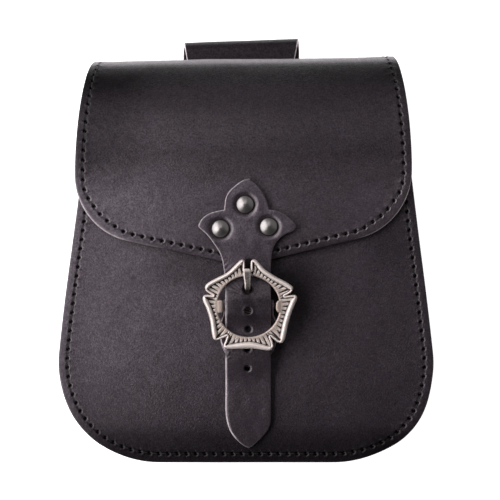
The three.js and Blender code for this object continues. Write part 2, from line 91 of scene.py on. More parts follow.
BUCKLE_X, BUCKLE_Y = 1.07, 76.5
FRAME_INNER, FRAME_WIDER = 14.6, 1.025  # the ring is a little wider than it is high
FRAME_UNDERSIDE, FRAME_FIELD, FRAME_RIM = 7.4, 8.75, 10.4
BAR_HEIGHT, BAR_RADIUS = 3.5, 1.3
LUG_INNERS = (12.4, 13.2)  # the left lug stands further in than the right
LUG_OUTER, LUG_HALF, LUG_TOP = 16.0, 3.2, 8.95
PRONG_WIDTH, PRONG_THICK, PRONG_TIP, PRONG_REST, PRONG_CURL = 3.4, 1.8, 18.2, 10.25, 2.8
CHAPE_HALF, CHAPE_BAR_HALF, CHAPE_END, CHAPE_THICK, CHAPE_STOCK = 13.5, 12.0, 46.5, 3.6, 1.5

RIVET_RADIUS, RIVET_DOME, RIVET_SHANK = 4.2, 2.3, 1.3
RIVET_CAP, RIVET_CAP_THICK = 3.6, 0.9
RIVET_CONE, RIVET_NOSE = 0.7, 1.1  # a rivet's head is nearer a round-nosed cone than a ball
RIVET_DIMPLE, RIVET_HOLLOW = 1.0, 0.6  # how far the rivets press the strap in, close and wide
RIVET_SUNK, RIVET_NECK = 0.65 * RIVET_DIMPLE + 0.7 * RIVET_HOLLOW, 0.35  # how deep the head sits in the dent
RIVETS = {
    "head_rivet_top": (-0.56, 125.1),
    "head_rivet_left": (-12.4, 113.5),
    "head_rivet_right": (10.75, 114.5),
}
HOLE_RADIUS, HOLES = 1.35, ((1.0, 74.2), (1.0, 65.3), (0.6, 55.7), (0.5, 46.4))
HOLE_DIMPLE, PUCKER, CREASE = 0.4, 0.15, 0.16  # how deep the strap's own marks are
STRAP_PARED, STRAP_PARED_DEEP = 1.15, 0.9  # width and depth of the slope on its left edge
# the leather raised round a hole and round a rivet: height, radius and width
HOLE_LIP, RIVET_LIP = (0.12, 2.3, 0.45), (0.12, 6.9, 1.5)
PRONG_HOLE, PRONG_HOLE_HALF, PRONG_HOLE_SQUEEZE = (-0.3, 84.6), 2.0, 0.95
STRAP_INSETS = (0.12, 0.27, 0.5, 0.8, 1.2, 1.7, 2.3)
# the parts of the strap with a finer mesh: low corner, high corner, spacing
STRAP_FINE = (((-16.5, 107), (16.5, 135), 0.62), ((-12, 60), (12, 98), 0.5))

# where the strap climbs and falls over what lies under it: from, to, rise
STRAP_RISES = (
    (38.5, 55.0, 3.9),  # the buckle's chape
    (64.5, 73.5, 2.8),  # the bar
    (79.5, 88.5, -3.0),  # the top of the frame
    (88.5, 99.0, -0.65),  # the flap's edge
    (FLAP_REST_FROM, FLAP_REST_TO, FLAP_LIFT - GAP),
)

# painted light and shade: how much more, or less, than elsewhere the waxed leather is lit and shines, by
# height on the bag, with a painted highlight along the flap's top fold
FLAP_PAINTED_LIGHT = ((110, 0.3), (128, 0.32), (140, 0.02), (150, -0.22), (176, -0.27), (181, -0.42), (187, -0.74),
               (190.5, -0.83), (194, -0.84), (195.6, -0.5), (197.2, 1.3))
FRONT_PAINTED_LIGHT = ((4, -0.7), (8, -0.6), (13, -0.5), (19, -0.12), (24, 0.0), (32, 0.04), (50, 0.18))
# and painted light and shade in places: how much, then for each ramp its axis, where it starts and where it
# is full
FLAP_LIGHT_PATCHES = (
    (0.3, ("x", 10, 60), ("y", 165, 130)),
    (-0.28, ("x", -35, -65), ("y", 128, 150), ("y", 195, 180)),
)
FRONT_LIGHT_PATCHES = (
    (0.12, ("x", 0, 40), ("x", 85, 70), ("y", 20, 50)),
    (-0.15, ("x", 50, 64)),
    (-0.4, ("x", -62, -25), ("x", 0, -6), ("y", 82, 92)),
)
# painted shadows by the strap and under the flap's corner: how much, middle x and y, reach along x and y
FRONT_PAINTED_SHADOWS = ((0.95, 21, 85, 18, 19), (0.3, 70, 108, 16, 14))
# the deepest painted shade
DEEPEST_PAINTED_SHADE = -0.9
# the same for a painted shadow on the strap, in the gap between the frame's two top lobes
LOBE_GAP_SHADOW = ((0.9, ("x", -2.2, -1.6), ("x", 2.4, 1.8), ("y", 93.6, 94.4), ("y", 100, 98.8)),)

# how far apart each plate's mesh points are, away from its edge and its marks
FRONT_SPACING, SHEET_SPACING, STRAP_SPACING, CHAPE_SPACING, LOOP_SPACING = 3.2, 3.4, 1.1, 1.4, 2.2

# soft unevenness of each leather: height, size and seed
FRONT_WAVES = ((0.22, 55, 3), (0.05, 14, 4))
SHEET_WAVES = ((0.2, 60, 11), (0.05, 13, 12))
STRAP_WAVES = ((0.1, 9, 31), (0.16, 30, 32))
CHAPE_WAVES = ((0.05, 9, 41),)
LOOP_WAVES = ((0.1, 30, 51),)

# stitching
BODY_PITCH, BODY_INSET = 4.46, 4.4
FLAP_PITCH, FLAP_INSET, FLAP_CORNER_INSET, FLAP_ROW_OUT = 4.8, 4.0, 1.3, 0.4
RIVET_PRESS, RIVET_PRESS_REACH = 0.45, 9.0  # how far the rivets press the flap in
PARED_ROUND = 0.45  # the flap's pared edge is this much rounder
THREAD_RADIUS = 0.22
ROUND, THIN_ROUND = 0.5, 0.55  # the rounding of a cut leather edge

# ---- small maths


def smooth(start, end, value):
    share = np.clip((np.asarray(value, float) - start) / (end - start), 0.0, 1.0)
    return share * share * (3.0 - 2.0 * share)


def bell(value, width):
    return np.exp(-(np.asarray(value, float) / width) ** 2)


def waves(points, size, seed, count=9):
    """Soft unevenness of about this size over flat points, from about -1 to 1."""
    random = np.random.default_rng(seed)
    angle = random.uniform(0, 2 * math.pi, count)
    length = size * random.uniform(0.6, 1.8, count)
    phase = random.uniform(0, 2 * math.pi, count)
    run = points[:, :1] * np.cos(angle) + points[:, 1:2] * np.sin(angle)
    return np.sin(run * (2 * math.pi / length) + phase).sum(1) / math.sqrt(count)


def uneven(points, rows):
    return sum(height * waves(points, size, seed) for height, size, seed in rows)


def patches(x, y, rows):
    """The sum of patches, each bounded by its ramps."""
    total = np.zeros(len(x))
    for amount, *ramps in rows:
        share = np.full(len(x), float(amount))
        for axis, start, full in ramps:
            share *= smooth(start, full, x if axis == "x" else y)
        total += share
    return total


def run_along(line):
    """The length passed at each point of a line."""
    return np.concatenate([[0], np.cumsum(np.linalg.norm(np.diff(line, axis=0), axis=1))])


def headings(line, closed=False):
    """Unit vectors along a line of points."""
    along = np.roll(line, -1, axis=0) - np.roll(line, 1, axis=0) if closed else np.gradient(line, axis=0)
    return along / np.linalg.norm(along, axis=1)[:, None]


def left_of(along):
    return np.stack([-along[:, 1], along[:, 0]], 1)


def loft_faces(rows, ring, capped=True):
    """Faces of a skin over rows of points round a ring, and of its two ends."""
    faces = []
    for i in range(rows - 1):
        for k in range(ring):
            a, b = i * ring + k, i * ring + (k + 1) % ring
            faces.append((a, b, b + ring, a + ring))
    if capped:
        faces += [tuple(reversed(range(ring))), tuple(range((rows - 1) * ring, rows * ring))]
    return faces


# ---- the bag's form
SIDE_ANGLE = math.atan(SIDE_TAPER)
FLAP_FACE = FOLD_RADIUS + CROWN_RADIUS * math.sin(CROWN_TURN) + BROW_RADIUS * (1 - math.sin(CROWN_TURN))
DEPTH = FLAP_FACE - FLAP_LIFT - PANEL
CROWN_TOP = FOLD_START + FOLD_RADIUS
BROW_START = CROWN_TOP - CROWN_RADIUS * (1 - math.cos(CROWN_TURN)) - BROW_RADIUS * math.cos(CROWN_TURN)

# the sheet that makes the back panel, the fold and the flap: length and radius of each stretch
PROFILE = (
    (FOLD_START, None),
    (FOLD_RADIUS * math.pi / 2, FOLD_RADIUS),
    (CROWN_RADIUS * CROWN_TURN, CROWN_RADIUS),
    (BROW_RADIUS * BROW_TURN, BROW_RADIUS),
    (BROW_START, None),
)
FRONT_FROM = sum(length for length, _ in PROFILE[:-1])


def half_width(y):
    y = np.asarray(y, float)
    low = np.sqrt(np.maximum(CORNER_RADIUS ** 2 - (CORNER_RADIUS - np.clip(y, 0, CORNER_RADIUS)) ** 2, 0))
    straight_from = CORNER_RADIUS * (1 + math.sin(SIDE_ANGLE))
    past = np.clip(y - CORNER_RADIUS, 0, straight_from - CORNER_RADIUS)
    high = np.sqrt(CORNER_RADIUS ** 2 - past ** 2) - np.maximum(y - straight_from, 0) * SIDE_TAPER
    return CORNER_X + np.where(y < CORNER_RADIUS, low, high)


def bulge(x, y):
    up = y / BULGE_SPAN
    return BULGE * 4 * up * (1 - up) * np.maximum(1 - (x / half_width(y)) ** 2, 0) ** BULGE_SHAPE


def front_face(x, y):
    """Outer face of the front panel."""
    radius = BROW_RADIUS - PANEL - FLAP_LIFT
    past = np.clip(y - BROW_START, 0, radius)
    droop = DROOP * (1 - np.clip(y / DROOP_TO, 0, 1)) ** 2
    roll = ROLL * (1 - np.clip((half_width(y) - np.abs(x)) / ROLL_WIDE, 0, 1)) ** 2
    return DEPTH + bulge(x, y) - (radius - np.sqrt(radius ** 2 - past ** 2)) - droop - roll


def front_at(x, y):
    """The height of that face at one point."""
    return float(front_face(np.array([x]), np.array([y]))[0])


def settled(x, y, z):
    """The lean of the top edge, the full bottom corners and the swell above them."""
    full = smooth(0, FULL_LOW, y) * (1 - smooth(FULL_HIGH, FULL_GONE, y))
    swell = bell(y - SWELL_Y, SWELL_REACH)
    out = ((full * FULL_RIGHT + swell * SWELL_RIGHT) * smooth(FULL_FROM, FULL_TO, x)
           - (full * FULL_LEFT + swell * SWELL_LEFT) * smooth(FULL_FROM, FULL_TO, -x))
    return np.stack([x + out, y + TOP_SKEW_RISE * x * smooth(TOP_SKEW_FROM, TOP_SKEW_TO, y), z], 1)


def along_profile(run):
    """Place and heading at a length along the back, the fold and the flap."""
    left = np.asarray(run, float).copy()
    y, z, heading = np.zeros_like(left), np.zeros_like(left), np.zeros_like(left)
    for length, radius in PROFILE:
        step = np.clip(left, 0, length)
        if radius:
            turned = heading + step / radius
            y += radius * (np.sin(turned) - np.sin(heading))
            z += radius * (np.cos(heading) - np.cos(turned))
            heading = turned
        else:
            y += step * np.cos(heading)
            z += step * np.sin(heading)
        left -= length
    return y, z, heading


def place_front(plan, offset):
    x, y = plan.T
    return settled(x, y, front_face(x, y) + offset)


def place_sheet(plan, offset):
    x, run = plan.T
    y, z, heading = along_profile(run)
    share = heading / math.pi
    lift = np.where(run > FRONT_FROM, flap_lift(y) - FLAP_LIFT, 0)
    out = offset + np.where(share > 0.5, bulge(x, y) * smooth(0.5, 1, share) + lift, 0)
    shift = FLAP_SHIFT * smooth(0, 0.6, share)
    lean = FLAP_LEAN * x * smooth(0.5, 1, share) * (1 - smooth(TOP_SKEW_FROM, TOP_SKEW_TO, y))
    return settled(x + shift, y + lean + out * np.sin(heading), z - out * np.cos(heading))


def flap_lift(y):
    return GAP + (FLAP_LIFT - GAP) * smooth(FLAP_REST_FROM, FLAP_REST_TO, y)


def strap_height(y):
    return GAP + sum(rise * smooth(start, end, y) for start, end, rise in STRAP_RISES)


def place_strap(plan, offset):
    x, y = plan.T
    across = x + BUCKLE_X
    return np.stack([across, y, front_face(across, y) + strap_height(y) + STRAP + offset], 1)


def to_world(points):
    x, y, z = points.T
    sin, cos = math.sin(TILT), math.cos(TILT)
    turned = np.stack([x, y * cos - z * sin, y * sin + z * cos], 1)
    return from_floor(turned)


def from_floor(points):
    middle = (LOOP_END - DEPTH * math.sin(TILT)) / 2
    return (points - np.array([0, middle, 0])) * MM


BUCKLE_SLOPE = math.atan((front_at(0, BUCKLE_Y + 1) - front_at(0, BUCKLE_Y - 1)) / 2)
BUCKLE_BASE = front_at(BUCKLE_X, BUCKLE_Y)


def from_buckle(points):
    """From the buckle's own frame, on the front's tangent plane with the bar's middle at 0, 0."""
    x, y, z = points.T
    c, s = math.cos(BUCKLE_SLOPE), math.sin(BUCKLE_SLOPE)
    return np.stack([x + BUCKLE_X, y * c - z * s + BUCKLE_Y, y * s + z * c + BUCKLE_BASE], 1)


def fall_away(y):
    """How far the bulging front falls below that plane."""
    return 4 * BULGE / BULGE_SPAN ** 2 * y ** 2


# ---- outlines in plan


class Outline:
    """An outline that grows along lines, arcs and quadratic bends."""

    def __init__(self, x, y):
        self.points = [(x, y)]

    def line(self, x, y):
        self.points.append((x, y))
        return self

    def arc(self, cx, cy, radius, start, end, pieces=24):
        for i in range(1, pieces + 1):
            angle = start + (end - start) * i / pieces
            self.points.append((cx + radius * math.cos(angle), cy + radius * math.sin(angle)))
        return self

    def bend(self, qx, qy, x, y, pieces=16):
        ax, ay = self.points[-1]
        for i in range(1, pieces + 1):
            t = i / pieces
            u = 1 - t
            near, mid, far = u * u, 2 * u * t, t * t
            self.points.append((near * ax + mid * qx + far * x, near * ay + mid * qy + far * y))
        return self

    def mirrored(self):
        """The whole outline, from its right half."""
        half = np.array(self.points)
        return np.vstack([half, half[-2:0:-1] * (-1, 1)])


def curved(points, pieces=8):
    """A smooth line through points (centripetal Catmull-Rom)."""
    p = np.asarray(points, float)
    p = np.vstack([2 * p[0] - p[1], p, 2 * p[-1] - p[-2]])
    knots = np.concatenate([[0], np.cumsum(np.sqrt(np.linalg.norm(np.diff(p, axis=0), axis=1)))])

    def blend(a, b, start, end, t):
        return ((end - t) * a + (t - start) * b) / (end - start)

    line = []
    for i in range(1, len(p) - 2):
        k = knots[i - 1:i + 3]
        t = np.linspace(k[1], k[2], pieces + 1)[:-1, None]
        first, middle, last = (blend(p[i + j - 1], p[i + j], k[j], k[j + 1], t) for j in range(3))
        early, late = blend(first, middle, k[0], k[2], t), blend(middle, last, k[1], k[3], t)
        line.append(blend(early, late, k[1], k[2], t))
    return np.vstack(line + [p[-2:-1]])


def curved_outline(runs):
    """A closed outline of smooth runs with a corner where each meets the next."""
    return np.vstack([curved(run)[:-1] for run in runs])


def resampled(points, step, closed=True):
    """The same line with points a step apart."""
    line = np.vstack([points, points[:1]]) if closed else np.asarray(points)
    run = run_along(line)
    count = max(int(round(run[-1] / step)), 3)
    at = np.linspace(0, run[-1], count + 1)
    if closed:
        at = at[:-1]
    return np.stack([np.interp(at, run, line[:, i]) for i in range(line.shape[1])], 1)


def inward(edge):
    """Unit vectors to the left of a closed line."""
    return left_of(headings(edge, closed=True))


def circle(x, y, radius, pieces=20, squeeze=1.0):
    angle = np.arange(pieces) * 2 * math.pi / pieces
    return np.stack([x + radius * squeeze * np.cos(angle), y + radius * np.sin(angle)], 1)


def inside(points, loop):
    x, y = points.T
    result = np.zeros(len(points), bool)
    for (ax, ay), (bx, by) in zip(loop, np.roll(loop, -1, axis=0)):
        if ay != by:
            result ^= ((ay > y) != (by > y)) & (x < ax + (y - ay) * (bx - ax) / (by - ay))
    return result


def nearest(points, targets):
    """Index of and distance to the nearest target of each point."""
    tree = KDTree(len(targets))
    for i, (x, y) in enumerate(targets):
        tree.insert((x, y, 0), i)
    tree.balance()
    found = [tree.find((x, y, 0)) for x, y in points]
    return np.array([f[1] for f in found]), np.array([f[2] for f in found])


def honeycomb(low, high, spacing):
    xs = np.arange(low[0], high[0], spacing)
    ys = np.arange(low[1], high[1], spacing * math.sqrt(3) / 2)
    grid_x, grid_y = np.meshgrid(xs, ys)
    grid_x = grid_x + (np.arange(len(ys)) % 2)[:, None] * spacing / 2
    return np.stack([grid_x.ravel(), grid_y.ravel()], 1)


# ---- leather plates


class Plate:
    """A flat piece cut from its outline: fine along its edge and round its marks, wider elsewhere."""
    BORE_STEP, BORE_INSETS = 0.4, (0.12, 0.3, 0.55, 0.9, 1.3)
    RING_ROOM, EDGE_ROOM, POINT_ROOM, WIDE_ROOM = 0.93, 0.25, 0.12, 0.45
    MARK_REACH = 1.6

    def __init__(self, outline, spacing, insets, edge_step=0.55, bores=(), marks=(), mark_spacing=0.3,
                 fine_areas=()):
        self.edge = resampled(np.asarray(outline), edge_step)
        bore_loops = [resampled(bore, self.BORE_STEP) for bore in bores]
        fixed = [self.edge] + bore_loops
        loops, start = [], 0
        for loop in fixed:
            loops += [(start + i, start + (i + 1) % len(loop)) for i in range(len(loop))]
            start += len(loop)
        borders = np.vstack(fixed)
        points, depths = list(fixed), [np.zeros(len(borders))]

        def clear_of_borders(found, room):
            """The points of the plate that keep this far from its borders, and how far they are."""
            found = found[inside(found, self.edge)]
            _, away = nearest(found, borders)
            return found[away > room], away[away > room]

        for inset in insets:
            ring, _ = clear_of_borders(self.edge + inward(self.edge) * inset, inset * self.RING_ROOM)
            points.append(ring)
            depths.append(np.full(len(ring), inset))
        for loop in bore_loops:
            for inset in self.BORE_INSETS:
                points.append(loop - inward(loop) * inset)
                depths.append(np.full(len(loop), inset))
        fills = [(honeycomb(low, high, size), self.EDGE_ROOM, self.POINT_ROOM)
                 for low, high, size in fine_areas]
        if len(marks):
            dots = honeycomb([-self.MARK_REACH] * 2, [self.MARK_REACH] * 2, mark_spacing)
            dots = dots[np.linalg.norm(dots, axis=1) < self.MARK_REACH]
            fills.append(((marks[:, None, :] + dots[None]).reshape(-1, 2), self.EDGE_ROOM, self.POINT_ROOM))
        wide = honeycomb(self.edge.min(0), self.edge.max(0), spacing)
        fills.append((wide, max(insets) + spacing * 0.4, spacing * self.WIDE_ROOM))
        for group, from_edge, apart in fills:
            group, away = clear_of_borders(group, from_edge)
            if len(group):
                _, gap = nearest(group, np.vstack(points))
                points.append(group[gap > apart])
                depths.append(away[gap > apart])
        depths = np.concatenate(depths)
        found = delaunay_2d_cdt([Vector(p) for p in np.vstack(points)], loops, [], 1, 1e-6)
        self.plan = np.array([tuple(v) for v in found[0]])
        source = np.array([ids[0] if ids else -1 for ids in found[3]])
        self.depth = np.where(source >= 0, depths[source], 0.0)
        faces = np.array(found[2])
        for bore in bores:
            faces = faces[~inside(self.plan[faces].mean(1), bore)]
        a, b, c = (self.plan[faces[:, i]] for i in range(3))
        self.faces = np.where((np.cross(b - a, c - a) < 0)[:, None], faces[:, ::-1], faces)

    def solid(self, place, thickness, relief=0.0, under=0.0, rounding=ROUND):
        """The points, faces and edge wear of the plate, `thickness` thick below its outer face."""
        rounding = np.broadcast_to(rounding, len(self.plan))
        inner = np.clip(rounding - self.depth, 0, rounding)
        fall = rounding - np.sqrt(np.maximum(rounding ** 2 - inner ** 2, 0))
        top = place(self.plan, -fall + relief)
        bottom = place(self.plan, -thickness + fall + under)
        count = len(self.plan)
        sides = {}
        for a, b, c in self.faces:
            for pair in ((a, b), (b, c), (c, a)):
                if sides.pop(pair[::-1], None) is None:
                    sides[pair] = True
        rim = sorted({v for pair in sides for v in pair})
        row = {v: 2 * count + i for i, v in enumerate(rim)}
        middle = (top[rim] + bottom[rim]) / 2
        walls = []
        for a, b in sides:
            walls += [(b, a, row[a], row[b]), (row[b], row[a], a + count, b + count)]
        faces = self.faces.tolist() + (self.faces[:, ::-1] + count).tolist() + walls
        paleness = smooth(rounding * 1.1, rounding * 0.2, self.depth)
        wear = np.concatenate([paleness, paleness, np.ones(len(rim))])
        return np.vstack([top, bottom, middle]), faces, {"pale_edge_and_highlight": wear}


def padded(values, points):
    """The values of the outer face, and 0 for the rest of the points."""
    return np.concatenate([values, np.zeros(len(points) - len(values))])


def clean_solid(mesh):
    """Joins the points that coincide and turns every face outwards."""
    solid = bmesh.new()
    solid.from_mesh(mesh)
    bmesh.ops.remove_doubles(solid, verts=solid.verts, dist=WELD * MM)
    if solid.calc_volume(signed=True) < 0:
        bmesh.ops.reverse_faces(solid, faces=solid.faces)
    solid.to_mesh(mesh)
    solid.free()


def dressed(name, points, faces, attributes, material, slot, nodes=(), world=to_world, smooth_shade=True):
    """A Blender object from millimetre points, riding on the root body in place of its CAD nodes."""
    mesh = bpy.data.meshes.new(name)
    placed = world(points)
    placed[:, 2] = np.maximum(placed[:, 2], 0)  # nothing sinks into the floor
    mesh.from_pydata(placed.tolist(), [], faces)
    for key, values in attributes.items():
        mesh.attributes.new(key, "FLOAT", "POINT").data.foreach_set("value", np.asarray(values, np.float32))
    clean_solid(mesh)
    mesh.polygons.foreach_set("use_smooth", np.full(len(mesh.polygons), smooth_shade))
    mesh.update()
    mesh.materials.append(material)
    piece = bpy.data.objects.new(name, mesh)
    bpy.context.scene.collection.objects.link(piece)
    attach(piece, "root")
    if nodes:
        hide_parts(*nodes)


def joined(parts):
    """Several sets of points, faces and attributes as one."""
    points, faces, attributes, start = [], [], {}, 0
    keys = {key for part in parts for key in part[2]}
    for part_points, part_faces, part_attributes in parts:
        points.append(part_points)
        faces += [tuple(v + start for v in face) for face in part_faces]
        for key in keys:
            values = part_attributes.get(key, np.zeros(len(part_points)))
            attributes.setdefault(key, []).append(np.broadcast_to(values, len(part_points)))
        start += len(part_points)
    return np.vstack(points), faces, {key: np.concatenate(v) for key, v in attributes.items()}


# ---- stitching


class Row:
    """A row of slanted stitch holes along a line in plan, and the thread that joins them."""
    SLANT = math.radians(38)
    HOLE_LONG, HOLE_WIDE, HOLE_DEEP = 0.98, 0.8, 1.2
    # the thread's groove: width, depth and painted shade
    GROOVE_WIDE, GROOVE_DEEP, GROOVE_DARK = 0.34, 0.2, 0.2
    RAMP_LONG, RAMP_WIDE, RAMP_DEEP = 2.9, 0.52, 0.75  # the thread draws the leather down before each hole
    LEAN = 0.26  # it leaves on one side and enters on the other
    BESIDE_HIGHLIGHT = 0.28  # painted highlight on the leather beside the thread
    REACH = 0.62  # share of the pitch that a hole's relief reaches
    # the thread between two holes: how far along, and how high
    THREAD = ((0.02, -1.2), (0.07, -0.75), (0.16, -0.4), (0.3, -0.24), (0.5, -0.2), (0.7, -0.24),
              (0.84, -0.42), (0.93, -0.8), (0.98, -1.2))

    def __init__(self, line, pitch, closed=False):
        self.holes = resampled(np.asarray(line, float), pitch, closed)
        self.along = headings(self.holes, closed)
        self.closed, self.pitch = closed, pitch

    def relief(self, plan):
        """Rise of the leather round the holes, painted shade in the holes and along the thread, and painted
        highlights on their right lips and beside the thread.
        """
        rise, painted_shade, lip_highlight = np.zeros((3, len(plan)))
        index, away = nearest(plan, self.holes)
        near = away < self.pitch * self.REACH
        t = self.along[index[near]]
        offset = plan[near] - self.holes[index[near]]
        run = (offset * t).sum(1)
        side = offset[:, 0] * t[:, 1] - offset[:, 1] * t[:, 0]
        c, s = math.cos(self.SLANT), math.sin(self.SLANT)
        reach = np.hypot((run * c + side * s) / self.HOLE_LONG, (side * c - run * s) / self.HOLE_WIDE)
        hole = 1 - smooth(0.42, 1.25, reach)
        off = side + self.LEAN * (np.sign(run) - 2 * run / self.pitch)
        groove = bell(off, self.GROOVE_WIDE) * (1 - smooth(0.5, 0.62, np.abs(run) / self.pitch))
        ramp = np.clip(1 + run / self.RAMP_LONG, 0, 1) ** 1.5 * (run < 0.2) * bell(off, self.RAMP_WIDE)
        ramp *= 0.1 + 0.9 * np.abs(t[:, 0]) ** 1.5  # the slanted holes open further on level rows
        pucker = bell(reach - 1.6, 0.34) * (0.1 + 0.1 * np.sign(run)) + 0.04 * bell(np.abs(side) - 1.2, 0.5)
        rise[near] = pucker - self.GROOVE_DEEP * groove - self.RAMP_DEEP * ramp - self.HOLE_DEEP * hole
        # painted shade in each hole, and along the ramp and groove that lead to it
        ramp_shade = 0.9 * ramp ** 0.6 + self.GROOVE_DARK * bell(off, 0.2)
        painted_shade[near] = np.maximum(1 - smooth(0.6, 0.95, reach), ramp_shade)
        # painted highlight on each hole's right lip and, on upright rows, beside the thread
        to_right = offset[:, 0] / np.maximum(away[near], 0.01)
        upright = smooth(0.85, 0.98, np.abs(t[:, 1]))
        beside = bell(off * np.sign(t[:, 1]) - 0.38, 0.22) * upright * smooth(1.2, 1.7, np.abs(run))
        lip_highlight[near] = bell(reach - 1.2, 0.26) * smooth(0.1, 0.8, to_right) + self.BESIDE_HIGHLIGHT * beside
        return rise, np.clip(painted_shade, 0, 1), lip_highlight

    def thread(self, place):
        """The stitches themselves, as short bent rods."""
        share, height = np.array(self.THREAD).T
        ends = np.roll(self.holes, -1, axis=0)
        rods = []
        for a, b in list(zip(self.holes, ends))[:None if self.closed else -1]:
            left = np.array([a[1] - b[1], b[0] - a[0]]) / np.linalg.norm(b - a)
            line = a + (b - a) * share[:, None] + left * self.LEAN * (1 - 2 * share)[:, None]
            rods.append(rod(place(line, height), THREAD_RADIUS))
        return rods


def rod(line, radius, sides=7):
    """A round rod along a line of points in space, with closed ends."""
    along = headings(np.asarray(line, float))
    up = np.array([0.0, 0.0, 1.0])
    if abs(along[:, 2]).max() > 0.995:  # the line stands upright somewhere
        up = np.array([0.0, 1.0, 0.0]) if abs(along[0, 1]) < 0.9 else np.array([1.0, 0.0, 0.0])
    side = np.cross(along, up)
    side /= np.linalg.norm(side, axis=1)[:, None]
    out = np.cross(side, along)
    angle = np.arange(sides) * 2 * math.pi / sides
    ring = side[:, None] * np.cos(angle)[None, :, None] + out[:, None] * np.sin(angle)[None, :, None]
    return (line[:, None] + ring * radius).reshape(-1, 3), loft_faces(len(line), sides), {}


# ---- node materials


class Nodes:
    """A short way to write a node material."""

    def __init__(self, name):
        self.material = bpy.data.materials.new(name)
        self.material.use_nodes = True
        self.tree = self.material.node_tree
        self.shader = self.tree.nodes["Principled BSDF"]
        self.place = self.add("ShaderNodeTexCoord").outputs["Object"]

    def add(self, kind, values=None, **settings):
        node = self.tree.nodes.new(kind)
        for key, value in settings.items():
            setattr(node, key, value)
        for key, value in (values or {}).items():
            self.feed(node.inputs[key], value)
        return node

    def feed(self, socket, value):
        if isinstance(value, bpy.types.NodeSocket):
            self.tree.links.new(value, socket)
        else:
            socket.default_value = value

    def noise(self, size, detail=3.0, rough=0.55, distortion=0.0):
        """Noise whose features are about `size` millimetres across, from 0 to 1."""
        values = {"Vector": self.place, "Scale": 1 / (size * MM), "Detail": detail, "Roughness": rough,
                  "Distortion": distortion}
        return self.add("ShaderNodeTexNoise", values).outputs["Fac"]

    def cells(self, size, feature="F1"):
        values = {"Vector": self.place, "Scale": 1 / (size * MM)}
        return self.add("ShaderNodeTexVoronoi", values, feature=feature).outputs["Distance"]

    def attribute(self, name):
        return self.add("ShaderNodeAttribute", attribute_name=name).outputs["Fac"]

    def math(self, operation, a, b=0.0, clamp=False):
        node = self.add("ShaderNodeMath", operation=operation, use_clamp=clamp)
        self.feed(node.inputs[0], a)
        self.feed(node.inputs[1], b)
        return node.outputs[0]

    def between(self, value, start, end, low=0.0, high=1.0):
        values = {"Value": value, "From Min": start, "From Max": end, "To Min": low, "To Max": high}
        return self.add("ShaderNodeMapRange", values, clamp=True).outputs["Result"]

    def mix(self, share, a, b):
        node = self.add("ShaderNodeMix", data_type="RGBA")
        self.feed(node.inputs["Factor"], share)
        self.feed(node.inputs[6], a)
        self.feed(node.inputs[7], b)
        return node.outputs[2]

    def bump(self, height, distance, strength=1.0, normal=None):
        values = {"Height": height, "Distance": distance * MM, "Strength": strength}
        if normal is not None:
            values["Normal"] = normal
        return self.add("ShaderNodeBump", values).outputs["Normal"]

    def finish(self, **sockets):
        for key, value in sockets.items():
            self.feed(self.shader.inputs[key.replace("_", " ")], value)
        return self.material


# the leather's colours: in its mottles, in specks, on cut edges and painted highlights, and in painted shade
LEATHER_DARK, LEATHER_PALE = (0.012, 0.0092, 0.0112), (0.018, 0.0132, 0.0182)
LEATHER_SPECK, LEATHER_EDGE_AND_HIGHLIGHT, LEATHER_SHADE = (0.036, 0.027, 0.034), (0.3, 0.26, 0.275), (0.0035, 0.003, 0.003)
# the metal's: in its fields and in its recesses
METAL_TAN, METAL_BROWN = (0.47, 0.375, 0.335, 1), (0.016, 0.011, 0.009, 1)


def leather_material(name, tint=1.0, gloss=0.43, grain_deep=0.15):
    """Waxed black leather with a violet cast: mottled, finely grained, paler and rougher on its cut edges,
    and carrying painted light, shade and highlights from its mesh attributes.
    """
    m = Nodes(name)

    def tinted(colour):
        return (*(channel * tint for channel in colour), 1)

    mottle = m.between(m.noise(16, 4, 0.6, 0.4), 0.3, 0.7)
    speckle = m.between(m.noise(0.8, 4, 0.75), 0.32, 0.68)
    base = m.mix(mottle, tinted(LEATHER_DARK), tinted(LEATHER_PALE))
    base = m.mix(m.math("MULTIPLY", speckle, 0.55), base, tinted(LEATHER_SPECK))
    rub = m.between(m.noise(1.3, 4, 0.7), 0.35, 0.62)
    # paler on cut edges, a colour that also serves as painted highlight on lips, crescents and lit edges
    paleness = m.math("MULTIPLY", m.attribute("pale_edge_and_highlight"), m.between(rub, 0, 1, 0.45, 1))
    base = m.mix(m.math("MULTIPLY", paleness, 0.5, True), base, tinted(LEATHER_EDGE_AND_HIGHLIGHT))
    # painted light and shade scale the colour, and below, the shine
    painted_light = m.math("ADD", 1.0, m.attribute("painted_light"))
    base = m.add("ShaderNodeVectorMath", {0: base, "Scale": painted_light}, operation="SCALE").outputs[0]
    # painted shade, which also dulls the shine below
    base = m.mix(m.attribute("painted_shade"), base, tinted(LEATHER_SHADE))
    rough = m.between(m.noise(2.4, 4, 0.65), 0.3, 0.7, gloss - 0.05, gloss + 0.07)
    rough = m.math("ADD", rough, m.math("MULTIPLY", m.attribute("pale_edge_and_highlight"), 0.12), True)
    shine = m.between(speckle, 0, 1, 0.25, 0.78)
    smears = m.between(m.noise(3.2, 3, 0.6), 0.3, 0.7, 0.8, 1.2)
    lit = m.between(m.attribute("painted_shade"), 0, 1, 1, 0.1)
    for share in (smears, lit, painted_light):
        shine = m.math("MULTIPLY", shine, share)
    grain = m.math("MULTIPLY", m.cells(0.62, "SMOOTH_F1"), 0.6)
    grain = m.math("ADD", grain, m.math("MULTIPLY", m.noise(0.35, 2, 0.6), 0.7))
    normal = m.bump(m.noise(7, 3, 0.5), 0.16)
    normal = m.bump(grain, grain_deep, 1.0, normal)
    return m.finish(Base_Color=base, Roughness=rough, Normal=normal, Specular_IOR_Level=shine,
                    Specular_Tint=(1.0, 0.87, 0.98, 1))


